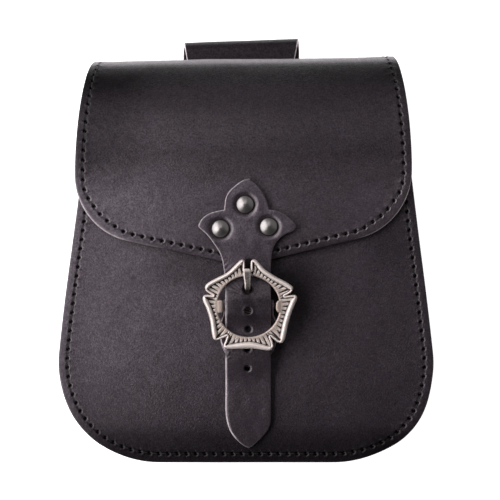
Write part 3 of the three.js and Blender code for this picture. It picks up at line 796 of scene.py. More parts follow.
def thread_material():
    m = Nodes("waxed_thread")
    twist = m.between(m.noise(0.5, 2, 0.6), 0.3, 0.7)
    base = m.mix(twist, (0.004, 0.0035, 0.004, 1), (0.012, 0.010, 0.011, 1))
    return m.finish(Base_Color=base, Roughness=0.5, Normal=m.bump(twist, 0.05))


def metal_material(name, bright, dull, gloss, shine, cast):
    """Antiqued metal: bright where it is rubbed, tan in its fields, brown-black in its recesses."""
    m = Nodes(name)
    patch = m.between(m.noise(2.6, 4, 0.65), 0.35, 0.7)
    base = m.mix(m.math("MULTIPLY", patch, 0.4), bright, dull)
    base = m.mix(m.attribute("tan"), base, METAL_TAN)
    spots = m.between(m.noise(0.8, 4, 0.7), 0.3, 0.8, -0.12, 0.16)
    stain = m.math("ADD", m.attribute("tarnish"), spots, True)
    base = m.mix(stain, base, METAL_BROWN)
    rough = m.math("ADD", m.between(patch, 0, 1, gloss, gloss + 0.1), m.math("MULTIPLY", stain, 0.3), True)
    pits = m.math("ADD", m.noise(0.45, 3, 0.6), m.math("MULTIPLY", m.noise(2.0, 3, 0.5), 1.2))
    normal = m.bump(pits, cast)
    metallic = m.between(stain, 0.2, 0.9, shine, 0.1)
    return m.finish(Base_Color=base, Metallic=metallic, Roughness=rough, Normal=normal)


PANEL_LEATHER = leather_material("panel_leather", grain_deep=0.2)
FLAP_LEATHER = leather_material("flap_leather", grain_deep=0.115)
GUSSET_LEATHER = leather_material("gusset_leather", 0.55, 0.5)
STRAP_LEATHER = leather_material("strap_leather", 1.05, 0.42)
THREAD = thread_material()
BUCKLE_METAL = metal_material("buckle_metal", (0.86, 0.755, 0.72, 1), (0.58, 0.49, 0.455, 1), 0.4, 0.35, 0.07)
RIVET_METAL = metal_material("rivet_metal", (0.26, 0.238, 0.24, 1), (0.2, 0.182, 0.182, 1), 0.31, 0.85, 0.02)

# ---- front panel


def body_half(taper, inset=0.0):
    """Right half of the bag's outline, from the middle of its bottom."""
    return Outline(0, inset).line(CORNER_X, inset).arc(
        CORNER_X, CORNER_RADIUS, CORNER_RADIUS - inset, -math.pi / 2, math.atan(taper), 60)


EDGE_INSETS = (0.12, 0.27, 0.5, 0.85, 1.5, 2.4, 3.3)
ROW_INSETS = (-0.55, -0.25, 0, 0.25, 0.55, 1.3, 2.6)
STRIP_INSETS = (0.12, 0.27, 0.5, 0.9)


def row_insets(inset):
    return EDGE_INSETS + tuple(inset + more for more in ROW_INSETS)


def threads(name, parts, world=to_world):
    dressed(name, *joined(parts), THREAD, "thread", world=world)


def left_to_right(half):
    """A whole line from its right half, which starts on the middle line."""
    half = np.array(half)
    return np.vstack([half[:0:-1] * (-1, 1), half])


def front_panel():
    top_x = float(half_width(FRONT_TOP))
    outline = body_half(SIDE_TAPER).line(top_x + SIDE_TAPER * FRONT_CORNER, FRONT_TOP - FRONT_CORNER)
    outline.bend(top_x, FRONT_TOP, top_x - FRONT_CORNER, FRONT_TOP).line(0, FRONT_TOP)
    line = body_half(SIDE_TAPER, BODY_INSET)
    line.line(float(half_width(GUSSET_TOP)) - BODY_INSET, GUSSET_TOP)
    row = Row(left_to_right(line.points), BODY_PITCH)
    plate = Plate(outline.mirrored(), FRONT_SPACING, row_insets(BODY_INSET), marks=row.holes,
                  mark_spacing=0.32)
    rise, painted_shade, lip_highlight = row.relief(plate.plan)
    points, faces, marks = plate.solid(place_front, PANEL, rise + uneven(plate.plan, FRONT_WAVES))
    x, y = plate.plan.T
    # painted light and shade by height and in patches, and painted shadows by the strap and under the flap's
    # corner
    painted_light = np.interp(y, *zip(*FRONT_PAINTED_LIGHT)) + patches(x, y, FRONT_LIGHT_PATCHES)
    for amount, middle_x, middle_y, reach_x, reach_y in FRONT_PAINTED_SHADOWS:
        painted_light -= amount * bell(np.hypot((x - middle_x) / reach_x, (y - middle_y) / reach_y), 1)
    marks["painted_shade"] = padded(painted_shade, points)
    marks["painted_light"] = padded(np.clip(painted_light, DEEPEST_PAINTED_SHADE, None), points)
    marks["pale_edge_and_highlight"] += padded(lip_highlight, points)
    dressed("front_panel_leather", points, faces, marks, PANEL_LEATHER, "panel_leather", ["front_panel"])
    threads("front_panel_stitches", row.thread(place_front))


# ---- back panel, fold and flap


def flap_run(y):
    """The length along the sheet of a height on the flap's flat front, and the other way round."""
    return FRONT_FROM + BROW_START - y


def sheet_outline():
    corner_x = FLAP_WIDE - FLAP_CORNER
    corner_run = flap_run(FLAP_TIP + (FLAP_CORNER + corner_x * math.sin(FLAP_SLOPE)) / math.cos(FLAP_SLOPE))
    fold_end = FOLD_START + FOLD_RADIUS * math.pi / 2
    outline = body_half(BACK_TAPER)
    outline.line(FLAP_TOP + BACK_TAPER * 14, FOLD_START - 4).line(FLAP_TOP, fold_end - 5)
    outline.bend(FLAP_TOP - 0.4, fold_end + 2, FLAP_TOP + 0.3, fold_end + 8)
    outline.bend(FLAP_WIDE - 0.8, FRONT_FROM - 22, FLAP_WIDE, FRONT_FROM + 6, 40)
    outline.line(FLAP_WIDE, corner_run)
    outline.arc(corner_x, corner_run, FLAP_CORNER, 0, math.pi / 2 - FLAP_SLOPE, 30)
    return outline.line(0, flap_run(FLAP_TIP)).mirrored()


def sheet_row(outline):
    """The row of stitches all round the sheet, which cuts across the flap's round corners a little."""
    edge = resampled(outline, 0.6)
    to_inside = inward(edge)
    on_flap = smooth(FRONT_FROM + 10, FRONT_FROM + 30, edge[:, 1])
    in_corner = smooth(0.45, 0.95, 2 * np.abs(to_inside).prod(1))
    inset = FLAP_INSET + on_flap * (FLAP_CORNER_INSET * in_corner - FLAP_ROW_OUT)
    line = edge + to_inside * inset[:, None]
    clear = nearest(line, edge)[1] > inset * 0.97
    return Row(line[clear][::-1], FLAP_PITCH, closed=True)


def back_and_flap():
    outline = sheet_outline()
    row = sheet_row(outline)
    rivets = [(x - FLAP_SHIFT, flap_run(y)) for x, y in RIVETS.values()]
    shanks = [circle(x, run, RIVET_SHANK + GAP) for x, run in rivets]
    plate = Plate(outline, SHEET_SPACING, row_insets(FLAP_INSET), edge_step=0.62, bores=shanks,
                  marks=row.holes, mark_spacing=0.34)
    rise, painted_shade, lip_highlight = row.relief(plate.plan)
    x, run = plate.plan.T
    y = flap_run(run)
    on_front = run > FRONT_FROM
    for rivet_x, rivet_run in rivets:
        rise -= RIVET_PRESS * bell(np.hypot(x - rivet_x, run - rivet_run), RIVET_PRESS_REACH)
    rise += uneven(plate.plan, SHEET_WAVES)
    # the lower left edge is pared most, and the edge by the strap hardly at all
    pared = smooth(-30, -50, x) * smooth(138, 122, y) * on_front
    roll = FLAP_ROLL * (1 - np.clip(plate.depth / FLAP_ROLL_WIDE, 0, 1)) ** 2
    roll *= smooth(FRONT_FROM - 50, FRONT_FROM, run) * (1 - pared)
    points, faces, marks = plate.solid(place_sheet, PANEL, rise - roll, -roll * smooth(100, 112, y),
                                       ROUND + PARED_ROUND * pared)
    # the flap's lower cut edge is pale partly in its own colour and partly as painted highlight: hardly by
    # the strap, more to the left and where pared, most at the right corner
    kept = 0.3 * smooth(-36, -40, x) + 0.7 * smooth(-52, -62, x) + 4.5 * smooth(50, 72, x)
    bright = np.where((y < 132) & on_front, 0.08 + 0.92 * kept, 1) * (1 + 1.4 * pared)
    count = len(x)
    marks["pale_edge_and_highlight"][:count] = marks["pale_edge_and_highlight"][:count] * bright + lip_highlight
    marks["pale_edge_and_highlight"][2 * count:] *= 0.5
    height, _, heading = along_profile(run)
    # painted light and shade on the flap, by height and in patches
    painted_light = np.interp(height, *zip(*FLAP_PAINTED_LIGHT)) + patches(x, height, FLAP_LIGHT_PATCHES)
    marks["painted_shade"] = padded(painted_shade, points)
    marks["painted_light"] = padded(np.where(heading > math.pi / 2, painted_light, 0), points)
    dressed("back_and_flap_leather", points, faces, marks, FLAP_LEATHER, "panel_leather", ["back_and_flap"])
    threads("back_and_flap_stitches", row.thread(place_sheet))


# ---- gusset


def section_loop(line, thickness, cap):
    """A closed section `thickness` wide round a middle line, with half-round ends of `cap` points."""
    along = headings(line)
    out = left_of(along) * thickness / 2
    angles = math.pi * np.arange(1, cap + 1)[:, None] / (cap + 1)

    def end(i, way):
        return line[i] + way * (out[i] * np.cos(angles) + along[i] * thickness / 2 * np.sin(angles))

    return np.vstack([line + out, end(-1, 1), (line - out)[::-1], end(0, -1)])


def gusset_line(top, bottom, bow):
    """Middle line of the section: inset and height, from front to back. `top` is a function of the inset."""
    bent = FLANGE + GUSSET / 2
    flat = FLANGE - 1.6
    bend = 2.6
    middle = (top(FLANGE) + bottom) / 2
    upper, lower = (top(bent) + middle) / 2, (bottom + middle) / 2
    line = Outline(FLANGE_FROM, top(FLANGE_FROM)).line(2.5, top(2.5)).line(flat, top(flat))
    line.bend(bent, top(bent), bent, top(bent) - bend, 6)
    line.bend(bent + 0.2, upper + 3, bent + bow * 0.8, upper, 4)
    line.bend(bent + bow, middle + 3, bent + bow, middle, 4)
    line.bend(bent + bow, middle - 3, bent + bow * 0.8, lower, 4)
    line.bend(bent + 0.2, lower - 3, bent, bottom + bend, 4)
    return line.bend(bent, bottom, flat, bottom, 6).line(2.5, bottom).line(FLANGE_FROM, bottom)


def gusset():
    step, cap = 1.1, 4
    half = body_half(SIDE_TAPER).line(float(half_width(GUSSET_TOP)), GUSSET_TOP)
    path = resampled(left_to_right(half.points), step, closed=False)
    crease = waves(np.stack([np.arange(len(path)) * step, np.zeros(len(path))], 1), 16, 21)
    loops = []
    for p, q, lean in zip(path, left_of(headings(path)), crease):
        def top(inset):
            return front_at(*(p + q * inset)) - PANEL - SEAM_GAP - GUSSET / 2

        line = gusset_line(top, PANEL + SEAM_GAP + GUSSET / 2, GUSSET_BOW + GUSSET_CREASE * lean).points
        section = section_loop(np.array(line), GUSSET, cap)
        x, y = (p + q * section[:, :1]).T
        loops.append(settled(x, y, section[:, 1]))
    points = np.array(loops)
    ring, count = points.shape[1], len(line)
    faces = loft_faces(len(points), ring, capped=False)
    for base, turn in ((0, 1), ((len(points) - 1) * ring, -1)):
        for k in range(count - 1):
            across = 2 * count + cap - 1 - k
            faces.append(tuple(base + v for v in (k, across, across - 1, k + 1)[::turn]))
        for first in (count - 1, 2 * count + cap - 1):
            rim = [base + (first + j) % ring for j in range(cap + 2)]
            faces.append(tuple(rim[::-turn]))
    wear = np.zeros((len(points), ring))
    wear[:, count:count + cap] = wear[:, -cap:] = wear[0] = wear[-1] = 1
    marks = {"pale_edge_and_highlight": wear.ravel(), "painted_shade": np.zeros(wear.size)}
    dressed("gusset_leather", points.reshape(-1, 3), faces, marks, GUSSET_LEATHER, "gusset_leather",
            ["gusset"])


# ---- closure strap


# outline of the strap, x from the buckle's middle: up its right side to the side lobe, the upper lobe to its
# curled tip, and down the left side with its blunter lobe
STRAP_RUNS = (
    ((0.2, 7.3), (2.2, 8.7), (4.6, 10.9), (7.0, 13.3), (9.4, 16.4), (10.6, 20.3), (10.8, 25), (10.8, 40),
     (10.8, 60), (10.8, 80), (10.7, 92), (10.9, 98), (11.8, 103.8), (14.3, 108.1), (18.4, 111.2),
     (20.8, 112.1), (22.4, 113.3), (22.8, 114.8), (22.0, 116.3), (18.4, 119.6), (14.1, 122.0), (9.8, 122.7)),
    ((9.8, 122.7), (9.4, 124.4), (8.5, 127.3), (6.0, 132.0), (2.6, 135.6), (1.0, 136.6)),
    ((1.0, 136.6), (0.8, 137.5), (-0.6, 137.4), (-2.2, 137.0), (-6.0, 134.5), (-9.3, 131.4), (-10.9, 128.4),
     (-11.5, 124.4), (-11.7, 122.6)),
    ((-11.7, 122.6), (-14.6, 122.1), (-19.4, 120.5), (-22.8, 117.6), (-24.0, 114.7), (-23.3, 113.7),
     (-19.9, 110.6), (-16.4, 106.0), (-13.5, 101.2), (-12.1, 95.6), (-11.3, 86), (-11.2, 60), (-11.1, 40),
     (-11.1, 25), (-10.6, 21.2), (-9.4, 16.9), (-7.5, 13.5), (-3.1, 9.1), (0.2, 7.3)),
)


def raised(away, height, radius, width):
    """The rise of leather that is raised in a ring."""
    return height * bell(away - radius, width)


def closure_strap():
    round_holes = [(x - BUCKLE_X, y) for x, y in HOLES]
    rivets = [(x - BUCKLE_X, y) for x, y in RIVETS.values()]
    bores = [circle(x, y, HOLE_RADIUS, 26) for x, y in round_holes]
    bores.append(circle(*PRONG_HOLE, PRONG_HOLE_HALF, 28, PRONG_HOLE_SQUEEZE))
    bores += [circle(x, y, RIVET_SHANK + GAP) for x, y in rivets]
    plate = Plate(curved_outline(STRAP_RUNS), STRAP_SPACING, STRAP_INSETS, 0.4, bores, fine_areas=STRAP_FINE)
    x, y = plate.plan.T
    rise, painted_shade, crescent_highlight = np.zeros((3, len(x)))
    for hole_x, hole_y in round_holes:
        away = np.hypot(x - hole_x, y - hole_y)
        past = away - HOLE_RADIUS
        rise += raised(away, *HOLE_LIP) - HOLE_DIMPLE * (1 - smooth(0, 0.7, past))
        # painted shade at each hole's rim, and below, a painted highlight on the leather at its right
        painted_shade = np.maximum(painted_shade, 0.9 * (1 - smooth(-0.1, 0.1, past)))
        to_right = (x - hole_x) / np.maximum(away, 0.01)
        crescent_highlight = np.maximum(crescent_highlight, 0.9 * bell(past - 0.5, 0.35) * smooth(0.3, 0.9, to_right))
    for rivet_x, rivet_y in rivets:
        away = np.hypot(x - rivet_x, y - rivet_y)
        past = away - RIVET_RADIUS
        rise += raised(away, *RIVET_LIP) - RIVET_DIMPLE * (1 - smooth(-0.3, 2.1, past))
        rise -= RIVET_HOLLOW * bell(away, 7.0)
        # painted shade at each rivet's foot, and below, a painted highlight crescent on the leather at its
        # right
        painted_shade = np.maximum(painted_shade, 0.85 * (1 - smooth(0, 0.3, past)))
        crescent_highlight = np.maximum(crescent_highlight, 0.9 * bell(past - 1.15, 0.75) * smooth(1.0, 4.6, x - rivet_x))
    # the prong drags its hole upwards, and the leather puckers beside it
    from_prong, above = x - PRONG_HOLE[0], y - PRONG_HOLE[1]
    away = np.hypot(from_prong / 1.05, above)
    rise += 0.25 * bell(np.hypot(np.abs(from_prong) - 2.6, above + 2.0), 0.8)
    rise -= 0.8 * (1 - smooth(1.9, 3.0, away))
    # painted shade in the prong's hole
    painted_shade = np.maximum(painted_shade, 0.85 * (1 - smooth(1.9, 2.4, away)))
    fan = np.arctan2(y - 81.5, x + 1)
    rise += PUCKER * np.sin(fan * 21 + 2.0 * np.sin(fan * 5)) * bell(np.hypot(x + 6.2, y - 84.0), 3.6)
    # creases where the strap dives under the frame and comes out again
    creased = smooth(-3, -10.5, x) * (bell(y - 94, 3.2) + bell(y - 55.5, 4.5))
    rise += CREASE * creased * np.sin((y * 0.9 - x * 0.8) * 2.6)
    rise += uneven(plate.plan, STRAP_WAVES)
    # the left edge is pared to a slope all the way down from the frame
    pared = (1 - smooth(0, STRAP_PARED, plate.depth)) * smooth(-2, -6, x)
    pared *= smooth(9, 15, y) * (1 - smooth(84, 96, y))
    rise -= STRAP_PARED_DEEP * pared
    # a painted shadow on the strap, in the gap between the frame's two top lobes
    painted_shade = np.maximum(painted_shade, patches(x, y, LOBE_GAP_SHADOW))
    points, faces, marks = plate.solid(place_strap, STRAP, rise, rounding=THIN_ROUND)
    count = len(rise)
    # painted light on the cut edges: the left ones much paler than the right, less pale where they run under
    # the frame's bottom lobe, none near the holes and rivets, with the painted crescents on top
    edge = np.maximum(marks["pale_edge_and_highlight"][:count], smooth(0.15, 0.6, pared)) * (0.35 + 1.45 * smooth(2, -7, x))
    edge *= 1 - 0.8 * smooth(50.5, 53, y) * smooth(66, 62, y)
    middles = round_holes + rivets + [(0, PRONG_HOLE[1])]
    from_hole = np.min([np.hypot(x - a, y - b) for a, b in middles], axis=0)
    marks["pale_edge_and_highlight"][:count] = np.maximum(edge * smooth(2.4, 3.4, from_hole), crescent_highlight)
    # painted light and shade: lighter all over and more so on the flap, darker in the ring's middle, and a
    # painted highlight on the pared left edge
    painted_light = 0.15 + 0.35 * smooth(90, 102, y) - 0.62 * bell(np.hypot(x, y - BUCKLE_Y) / 13.5, 1) ** 2
    painted_light += 0.9 * smooth(0.1, 0.7, pared) * smooth(100, 20, y)
    marks["painted_shade"] = padded(painted_shade, points)
    marks["painted_light"] = padded(painted_light, points)
    dressed("closure_strap_leather", points, faces, marks, STRAP_LEATHER, "strap_leather", ["closure_strap"])


# ---- rivets


def lathe(profile, sides=48):
    """A body of revolution about z from a profile of radius and height that starts and ends on the axis."""
    radius, height = np.array(profile, float).T
    angle = np.arange(sides) * 2 * math.pi / sides
    rings = np.stack([np.outer(radius, np.cos(angle)), np.outer(radius, np.sin(angle)),
                      np.outer(height, np.ones(sides))], 2)
    points = np.vstack([rings[0, :1], rings[1:-1].reshape(-1, 3), rings[-1, :1]])
    faces = [tuple(v + 1 for v in face) for face in loft_faces(len(rings) - 2, sides, capped=False)]
    last = len(points) - 1
    for k in range(sides):
        n = (k + 1) % sides
        faces += [(0, 1 + n, 1 + k), (last - sides + k, last - sides + n, last)]
    return points, faces


def head_rivet(name, x, y):
    seat = float(strap_height(y)) + STRAP + GAP - RIVET_SUNK
    cap_top, neck = GAP + RIVET_CAP_THICK, seat - RIVET_NECK
    profile = [(0, GAP), (RIVET_CAP, GAP), (RIVET_CAP, cap_top), (RIVET_SHANK, cap_top), (RIVET_SHANK, neck)]
    profile += [(RIVET_RADIUS - 0.25, neck), (RIVET_RADIUS, seat - 0.1), (RIVET_RADIUS, seat)]
    sphere = (RIVET_RADIUS ** 2 + RIVET_DOME ** 2) / (2 * RIVET_DOME)
    for share in np.linspace(0, 1, 15)[1:]:
        r = RIVET_RADIUS * math.cos(share * math.pi / 2)
        dome = RIVET_DOME - sphere + math.sqrt(sphere ** 2 - r ** 2)
        cone = RIVET_DOME * (1 - (math.hypot(r, RIVET_NOSE) - RIVET_NOSE) / RIVET_RADIUS)
        profile.append((r, seat + 0.25 + RIVET_CONE * cone + (1 - RIVET_CONE) * dome))
    points, faces = lathe(profile)
    away = np.hypot(points[:, 0], points[:, 1])
    tarnish = smooth(RIVET_RADIUS - 0.35, RIVET_RADIUS - 0.1, away)
    points = points + np.array([x, y, front_at(x, y)])
    dressed(name + "_dome", points, faces, {"tarnish": tarnish}, RIVET_METAL, "rivet_metal", [name])


# ---- buckle
NOTCH_RIM, OUTER_RIMS = 1.1, (2.2, 2.0, 2.4, 2.5, 2.6)  # width of the rolled rim beside a notch and outside
RIBS = 10.5  # ribs on each lobe
FIELD_ROUND, BACK_ROUND = 0.7, 0.4  # rounding of the hole's edge and of the back's
RIM_FOOT, NOTCH_DROP = 0.75, 0.4  # the rim's foot below the field, and how much lower it is by a notch
FIELD_DIP, RIB_DEEP = 0.35, 0.6  # the field's dip beside the rim, and the depth of its ribs
FRAME_SPACING, FRAME_INSETS = 0.2, (0.05, 0.13, 0.25, 0.4)
LUG_SPACING, LUG_INSETS = 0.35, (0.12, 0.3, 0.55)
BOTTOM_LOBE = 3  # its rim is widest in its middle
LOBE_ANGLES = ((17.0, 86.5), (94.5, 162.8), (162.8, 234.0), (234.0, 306.4), (306.4, 377.0))

# the lobes as cast, none quite like another, from the right anticlockwise: each from notch to notch
LOBES = (
    ((17.5, 5.1), (20.2, 6.6), (21.2, 7.9), (21.2, 9.2), (20.2, 10.3), (17.1, 12.2), (13.7, 13.9),
     (11.0, 15.6), (8.2, 17.5), (6.2, 19.5), (4.8, 21.2), (3.7, 22.2), (2.6, 22.5), (1.6, 22.2), (1.1, 21.2),
     (1.1, 17.3)),
    ((-1.8, 17.3), (-1.8, 21.1), (-2.1, 22.2), (-2.9, 22.5), (-3.8, 22.2), (-5.1, 21.1), (-7.2, 19.0),
     (-9.2, 17.1), (-11.3, 15.6), (-13.7, 14.4), (-18.8, 11.7), (-20.2, 10.5), (-20.8, 9.3), (-20.6, 8.1),
     (-19.7, 7.0), (-17.0, 5.3)),
    ((-17.0, 5.3), (-20.0, 5.6), (-21.3, 5.3), (-21.9, 4.3), (-21.8, 2.9), (-20.0, -1.3), (-18.4, -6.5),
     (-17.6, -11.9), (-17.2, -14.2), (-16.7, -15.5), (-15.7, -16.1), (-14.5, -15.9), (-10.3, -14.2)),
    ((-10.3, -14.2), (-11.0, -16.3), (-11.8, -18.2), (-11.6, -19.4), (-10.6, -20.0), (-8.5, -20.2),
     (-1.7, -20.1), (1.7, -20.1), (5.2, -20.5), (7.9, -20.9), (10.1, -21.0), (11.4, -20.3), (11.9, -18.8),
     (11.6, -17.0), (10.6, -14.4)),
    ((10.6, -14.4), (12.4, -15.9), (13.8, -17.0), (15.0, -17.4), (16.2, -17.3), (17.1, -16.2), (17.7, -14.3),
     (18.8, -8.9), (20.4, -3.4), (22.4, 1.7), (23.1, 3.4), (23.2, 4.7), (22.4, 5.5), (21.2, 5.6),
     (17.5, 5.1)),
)


def fillet(corner, before, after, radius, pieces=8):
    """An arc in place of a corner."""
    a = (before - corner) / np.linalg.norm(before - corner)
    b = (after - corner) / np.linalg.norm(after - corner)
    half = math.acos(np.clip(a @ b, -1, 1)) / 2
    reach = radius / math.tan(half)
    middle = corner + (a + b) / np.linalg.norm(a + b) * radius / math.sin(half)
    start, end = corner + a * reach - middle, corner + b * reach - middle
    first = math.atan2(start[1], start[0])
    turn = (math.atan2(end[1], end[0]) - first + math.pi) % (2 * math.pi) - math.pi
    angles = first + turn * np.arange(pieces + 1) / pieces
    return middle + radius * np.stack([np.cos(angles), np.sin(angles)], 1)


def frame_outline():
    """The five lobes, and the rolled rim's width at each point of their outline."""
    rows = []
    for i, (run, width) in enumerate(zip(LOBES, OUTER_RIMS)):
        line = curved(run)
        if i > 1:
            line = line[1:]  # the notch that it shares with the lobe before
        radial = np.abs((headings(line) * line).sum(1)) / np.linalg.norm(line, axis=1)
        if i == BOTTOM_LOBE:
            width = width * (0.78 + 0.5 * bell(line[:, 0], 7.5))
        rows.append(np.column_stack([line, width + (NOTCH_RIM - width) * smooth(0.5, 0.85, radial)]))
    both = resampled(np.vstack(rows)[:-1], 0.2)
    return both[:, :2], both[:, 2]


def rib_phase(degrees):
    """Ribs passed at a direction from the ring's middle: a whole number at each groove between two ribs."""
    phase = np.zeros(len(degrees))
    for first, last in LOBE_ANGLES:
        turn = (degrees - first) % 360
        phase = np.where(turn < last - first, turn / (last - first) * RIBS, phase)
    return phase


def rounded(radius, depth):
    """How far an edge of this rounding falls at a depth from it."""
    fall = np.clip(radius - depth, 0, radius)
    return radius - np.sqrt(radius ** 2 - fall ** 2)


def cast_plate(plate, top, foot):
    """The points and faces of a cast plate between two heights in the buckle's frame."""
    def level(plan, heights):
        return from_buckle(np.column_stack([plan, np.broadcast_to(heights, len(plan))]))

    points, faces, _ = plate.solid(level, 0.0, rounding=0.001)
    count = len(plate.plan)
    points[:count], points[count:2 * count] = level(plate.plan, top), level(plate.plan, foot)
    index, _ = nearest(points[2 * count:, :2], points[:count, :2])
    points[2 * count:] = (points[index] + points[index + count]) / 2
    return points, faces


def buckle_frame():
    outline, rim_width = frame_outline()
    inner = circle(0, 0, FRAME_INNER, 300) * (FRAME_WIDER, 1)
    plate = Plate(outline, FRAME_SPACING, FRAME_INSETS, FRAME_SPACING, [inner])
    x, y = plate.plan.T
    from_hole, angle = np.hypot(x / FRAME_WIDER, y) - FRAME_INNER, np.degrees(np.arctan2(y, x))
    index, away = nearest(plate.plan, outline)
    width = rim_width[index]
    # the rolled rim: a broad round, lower beside the notches
    height = FRAME_RIM - NOTCH_DROP * smooth(2.0, 1.2, width)
    across = np.clip(away / width, 0, 1)
    roll = np.sqrt(np.maximum(1 - np.abs(2 * across - 1) ** 2.5, 0))
    past = away - width
    # the recessed field inside it, with a comb of ribs against the rim that fades out towards the hole
    share = np.clip(past / np.clip(0.75 * (past + from_hole), 1.1, 3.4), 0, 1)
    wave = 0.5 * np.cos(2 * math.pi * rib_phase(angle))
    groove = smooth(-0.22, 0.16, wave - 0.62 * share) * smooth(-0.05, 0.15, past)
    field = FRAME_FIELD - FIELD_DIP * (1 - share) - RIB_DEEP * groove - rounded(FIELD_ROUND, from_hole)
    rim_base = FRAME_FIELD - RIM_FOOT
    top = np.where(past < 0, rim_base + (height - rim_base) * roll, np.maximum(field, rim_base - 0.2))
    top = np.where(away < 0.03, rim_base, top)
    tarnish = np.where(past > -0.16, np.maximum(groove, 1.05 * bell(past - 0.12, 0.28)), 0)
    tarnish = np.clip(np.maximum(tarnish, 0.1 * (past > 0.3)), 0, 1)
    tan = 0.85 * smooth(0.2, 1.6, past) * smooth(-0.3, 0.5, share - 0.4)
    points, faces = cast_plate(plate, top, FRAME_UNDERSIDE + rounded(BACK_ROUND, plate.depth))
    parts = [(points, faces, {"tarnish": padded(tarnish, points), "tan": padded(tan, points)})]
    ends = LUG_OUTER - 1.2
    bar_line = np.column_stack([np.linspace(-ends, ends, 60), np.zeros(60), np.full(60, BAR_HEIGHT)])
    points, faces, _ = rod(bar_line, BAR_RADIUS, 20)
    # the bar lies in shade under the frame: tarnished, and painted almost black as shade
    parts.append((from_buckle(points), faces, {"tarnish": 0.97}))
    parts += [lug(-1), lug(1)]
    dressed("buckle_frame_metal", *joined(parts), BUCKLE_METAL, "buckle_metal", ["buckle_frame"])


def lug(side):
    """The plate that carries one end of the bar, seen inside the ring: -1 is the left one, 1 the right."""
    near = LUG_INNERS[side > 0]
    corners = np.array([(near, 2.9), (near, -3.0), (LUG_OUTER, -LUG_HALF), (LUG_OUTER, LUG_HALF)])
    rounds = (0.9, 0.9, 0.9, 0.9) if side < 0 else (2.2, 2.2, 0.9, 0.9)
    arcs = [fillet(corners[i], corners[i - 1], corners[(i + 1) % 4], rounds[i], 6) for i in range(4)]
    outline = resampled(np.vstack(arcs), 0.3) * (side, 1)
    plate = Plate(outline[::side], LUG_SPACING, LUG_INSETS, edge_step=0.3)
    x, y = plate.plan.T
    away = np.abs(x) - near
    top = LUG_TOP - 0.22 * smooth(1.3, 2.8, away)
    top -= 0.35 * smooth(0.5, 0.0, plate.depth) * smooth(2.6, 1.8, away)
    points, faces = cast_plate(plate, top, 2.0 + 4.6 * smooth(1.6, 3.4, np.abs(y)))
    tarnish = 0.1 + (0.1 if side < 0 else 0.3) * bell(away - 1.2, 0.8)
    tarnish = np.concatenate([tarnish, np.full(len(points) - len(tarnish), 0.4)])
    return points, faces, {"tarnish": tarnish, "tan": 1}


# the prong's section: which side, how far in from it, which face, how far from it, tarnish
PRONG_SECTION = (
    (-1, 0, -1, 0.3, 0), (-1, 0, 1, 0.5, 0), (-1, 0.46, 1, 0, 0.1), (-1, 0.58, 1, 0, 0.92),
    (1, 0.58, 1, 0, 0.92), (1, 0.46, 1, 0, 0.5), (1, 0, 1, 0.5, 0.2), (1, 0, -1, 0.3, 0),
)


def prong_blade():
    line = Outline(1.2, BAR_HEIGHT + 1.75).line(6.0, 5.2).bend(7.9, 5.3, 8.7, 7.8, 10)
    line = np.array(line.bend(9.4, PRONG_REST, 10.9, PRONG_REST, 10).line(PRONG_TIP, PRONG_REST).points)
    line = resampled(line, 0.3, closed=False)
    out = left_of(headings(line))
    share = np.linspace(0, 1, len(line))
    half = PRONG_WIDTH / 2 * (0.78 + 0.22 * smooth(11, 15, line[:, 0]))
    shrink = np.sqrt(1 - 0.75 * np.clip((share - 0.965) / 0.035, 0, 1) ** 2)
    lean = -0.35 - 0.035 * (line[:, 0] - 7)
    hole_shade = smooth(8.9, 8.2, line[:, 1])  # painted shade: black where it comes up through the strap
    rows, tarnish = [], []
    for side, inset, face, drop, stain in PRONG_SECTION:
        across = side * (half - inset) * shrink
        up = face * (PRONG_THICK / 2 * shrink - drop)
        rows.append(np.column_stack([across + lean, line + out * up[:, None]]))
        tarnish.append(np.maximum(stain * (1 - 0.6 * smooth(0.9, 0.97, share)), hole_shade))
    points = np.array(rows).transpose(1, 0, 2).reshape(-1, 3)
    faces = loft_faces(len(line), len(PRONG_SECTION))
    return from_buckle(points), faces, {"tarnish": np.array(tarnish).T.ravel()}


def prong_curl(sides=32):
    """The ring that the prong's root is curled into, round the bar."""
    angle = np.arange(sides) * 2 * math.pi / sides
    loops = []
    for x, radius in ((-1, BAR_RADIUS + GAP), (-1, PRONG_CURL), (1, BAR_RADIUS + GAP), (1, PRONG_CURL)):
        loops.append(np.column_stack([np.full(sides, x * PRONG_WIDTH / 2), radius * np.cos(angle),
                                      BAR_HEIGHT + radius * np.sin(angle)]))
    faces = []
    for k in range(sides):
        n = (k + 1) % sides
        for a, b in ((0, 1), (1, 3), (3, 2), (2, 0)):
            faces.append((a * sides + k, a * sides + n, b * sides + n, b * sides + k))
    return from_buckle(np.vstack(loops)), faces, {"tarnish": 0.3}


def buckle_prong():
    dressed("buckle_prong_metal", *joined([prong_blade(), prong_curl()]), BUCKLE_METAL, "buckle_metal",
            ["buckle_prong"], smooth_shade=False)


def chape_line():
    """Middle line of the strip that is folded round the bar, in the buckle's frame: distance and height."""
    low, high = GAP + CHAPE_STOCK / 2, GAP + CHAPE_THICK - CHAPE_STOCK / 2
    end = CHAPE_END - BUCKLE_Y
    radius = BAR_HEIGHT - low
    under = [(y, low - float(fall_away(y))) for y in np.linspace(end, 0, 30)]
    line = Outline(*under[0])
    for y, z in under[1:]:
        line.line(y, z)
    line.arc(0, BAR_HEIGHT, radius, -math.pi / 2, math.radians(112), 40)
    y, z = line.points[-1]
    line.bend(-4.6, z - 0.2, -7.5, high - float(fall_away(7.5)), 12)
    for y in np.linspace(-8.5, end + 1.5, 24):
        line.line(y, high - float(fall_away(y)))
    return resampled(np.array(line.points), 0.5, closed=False)


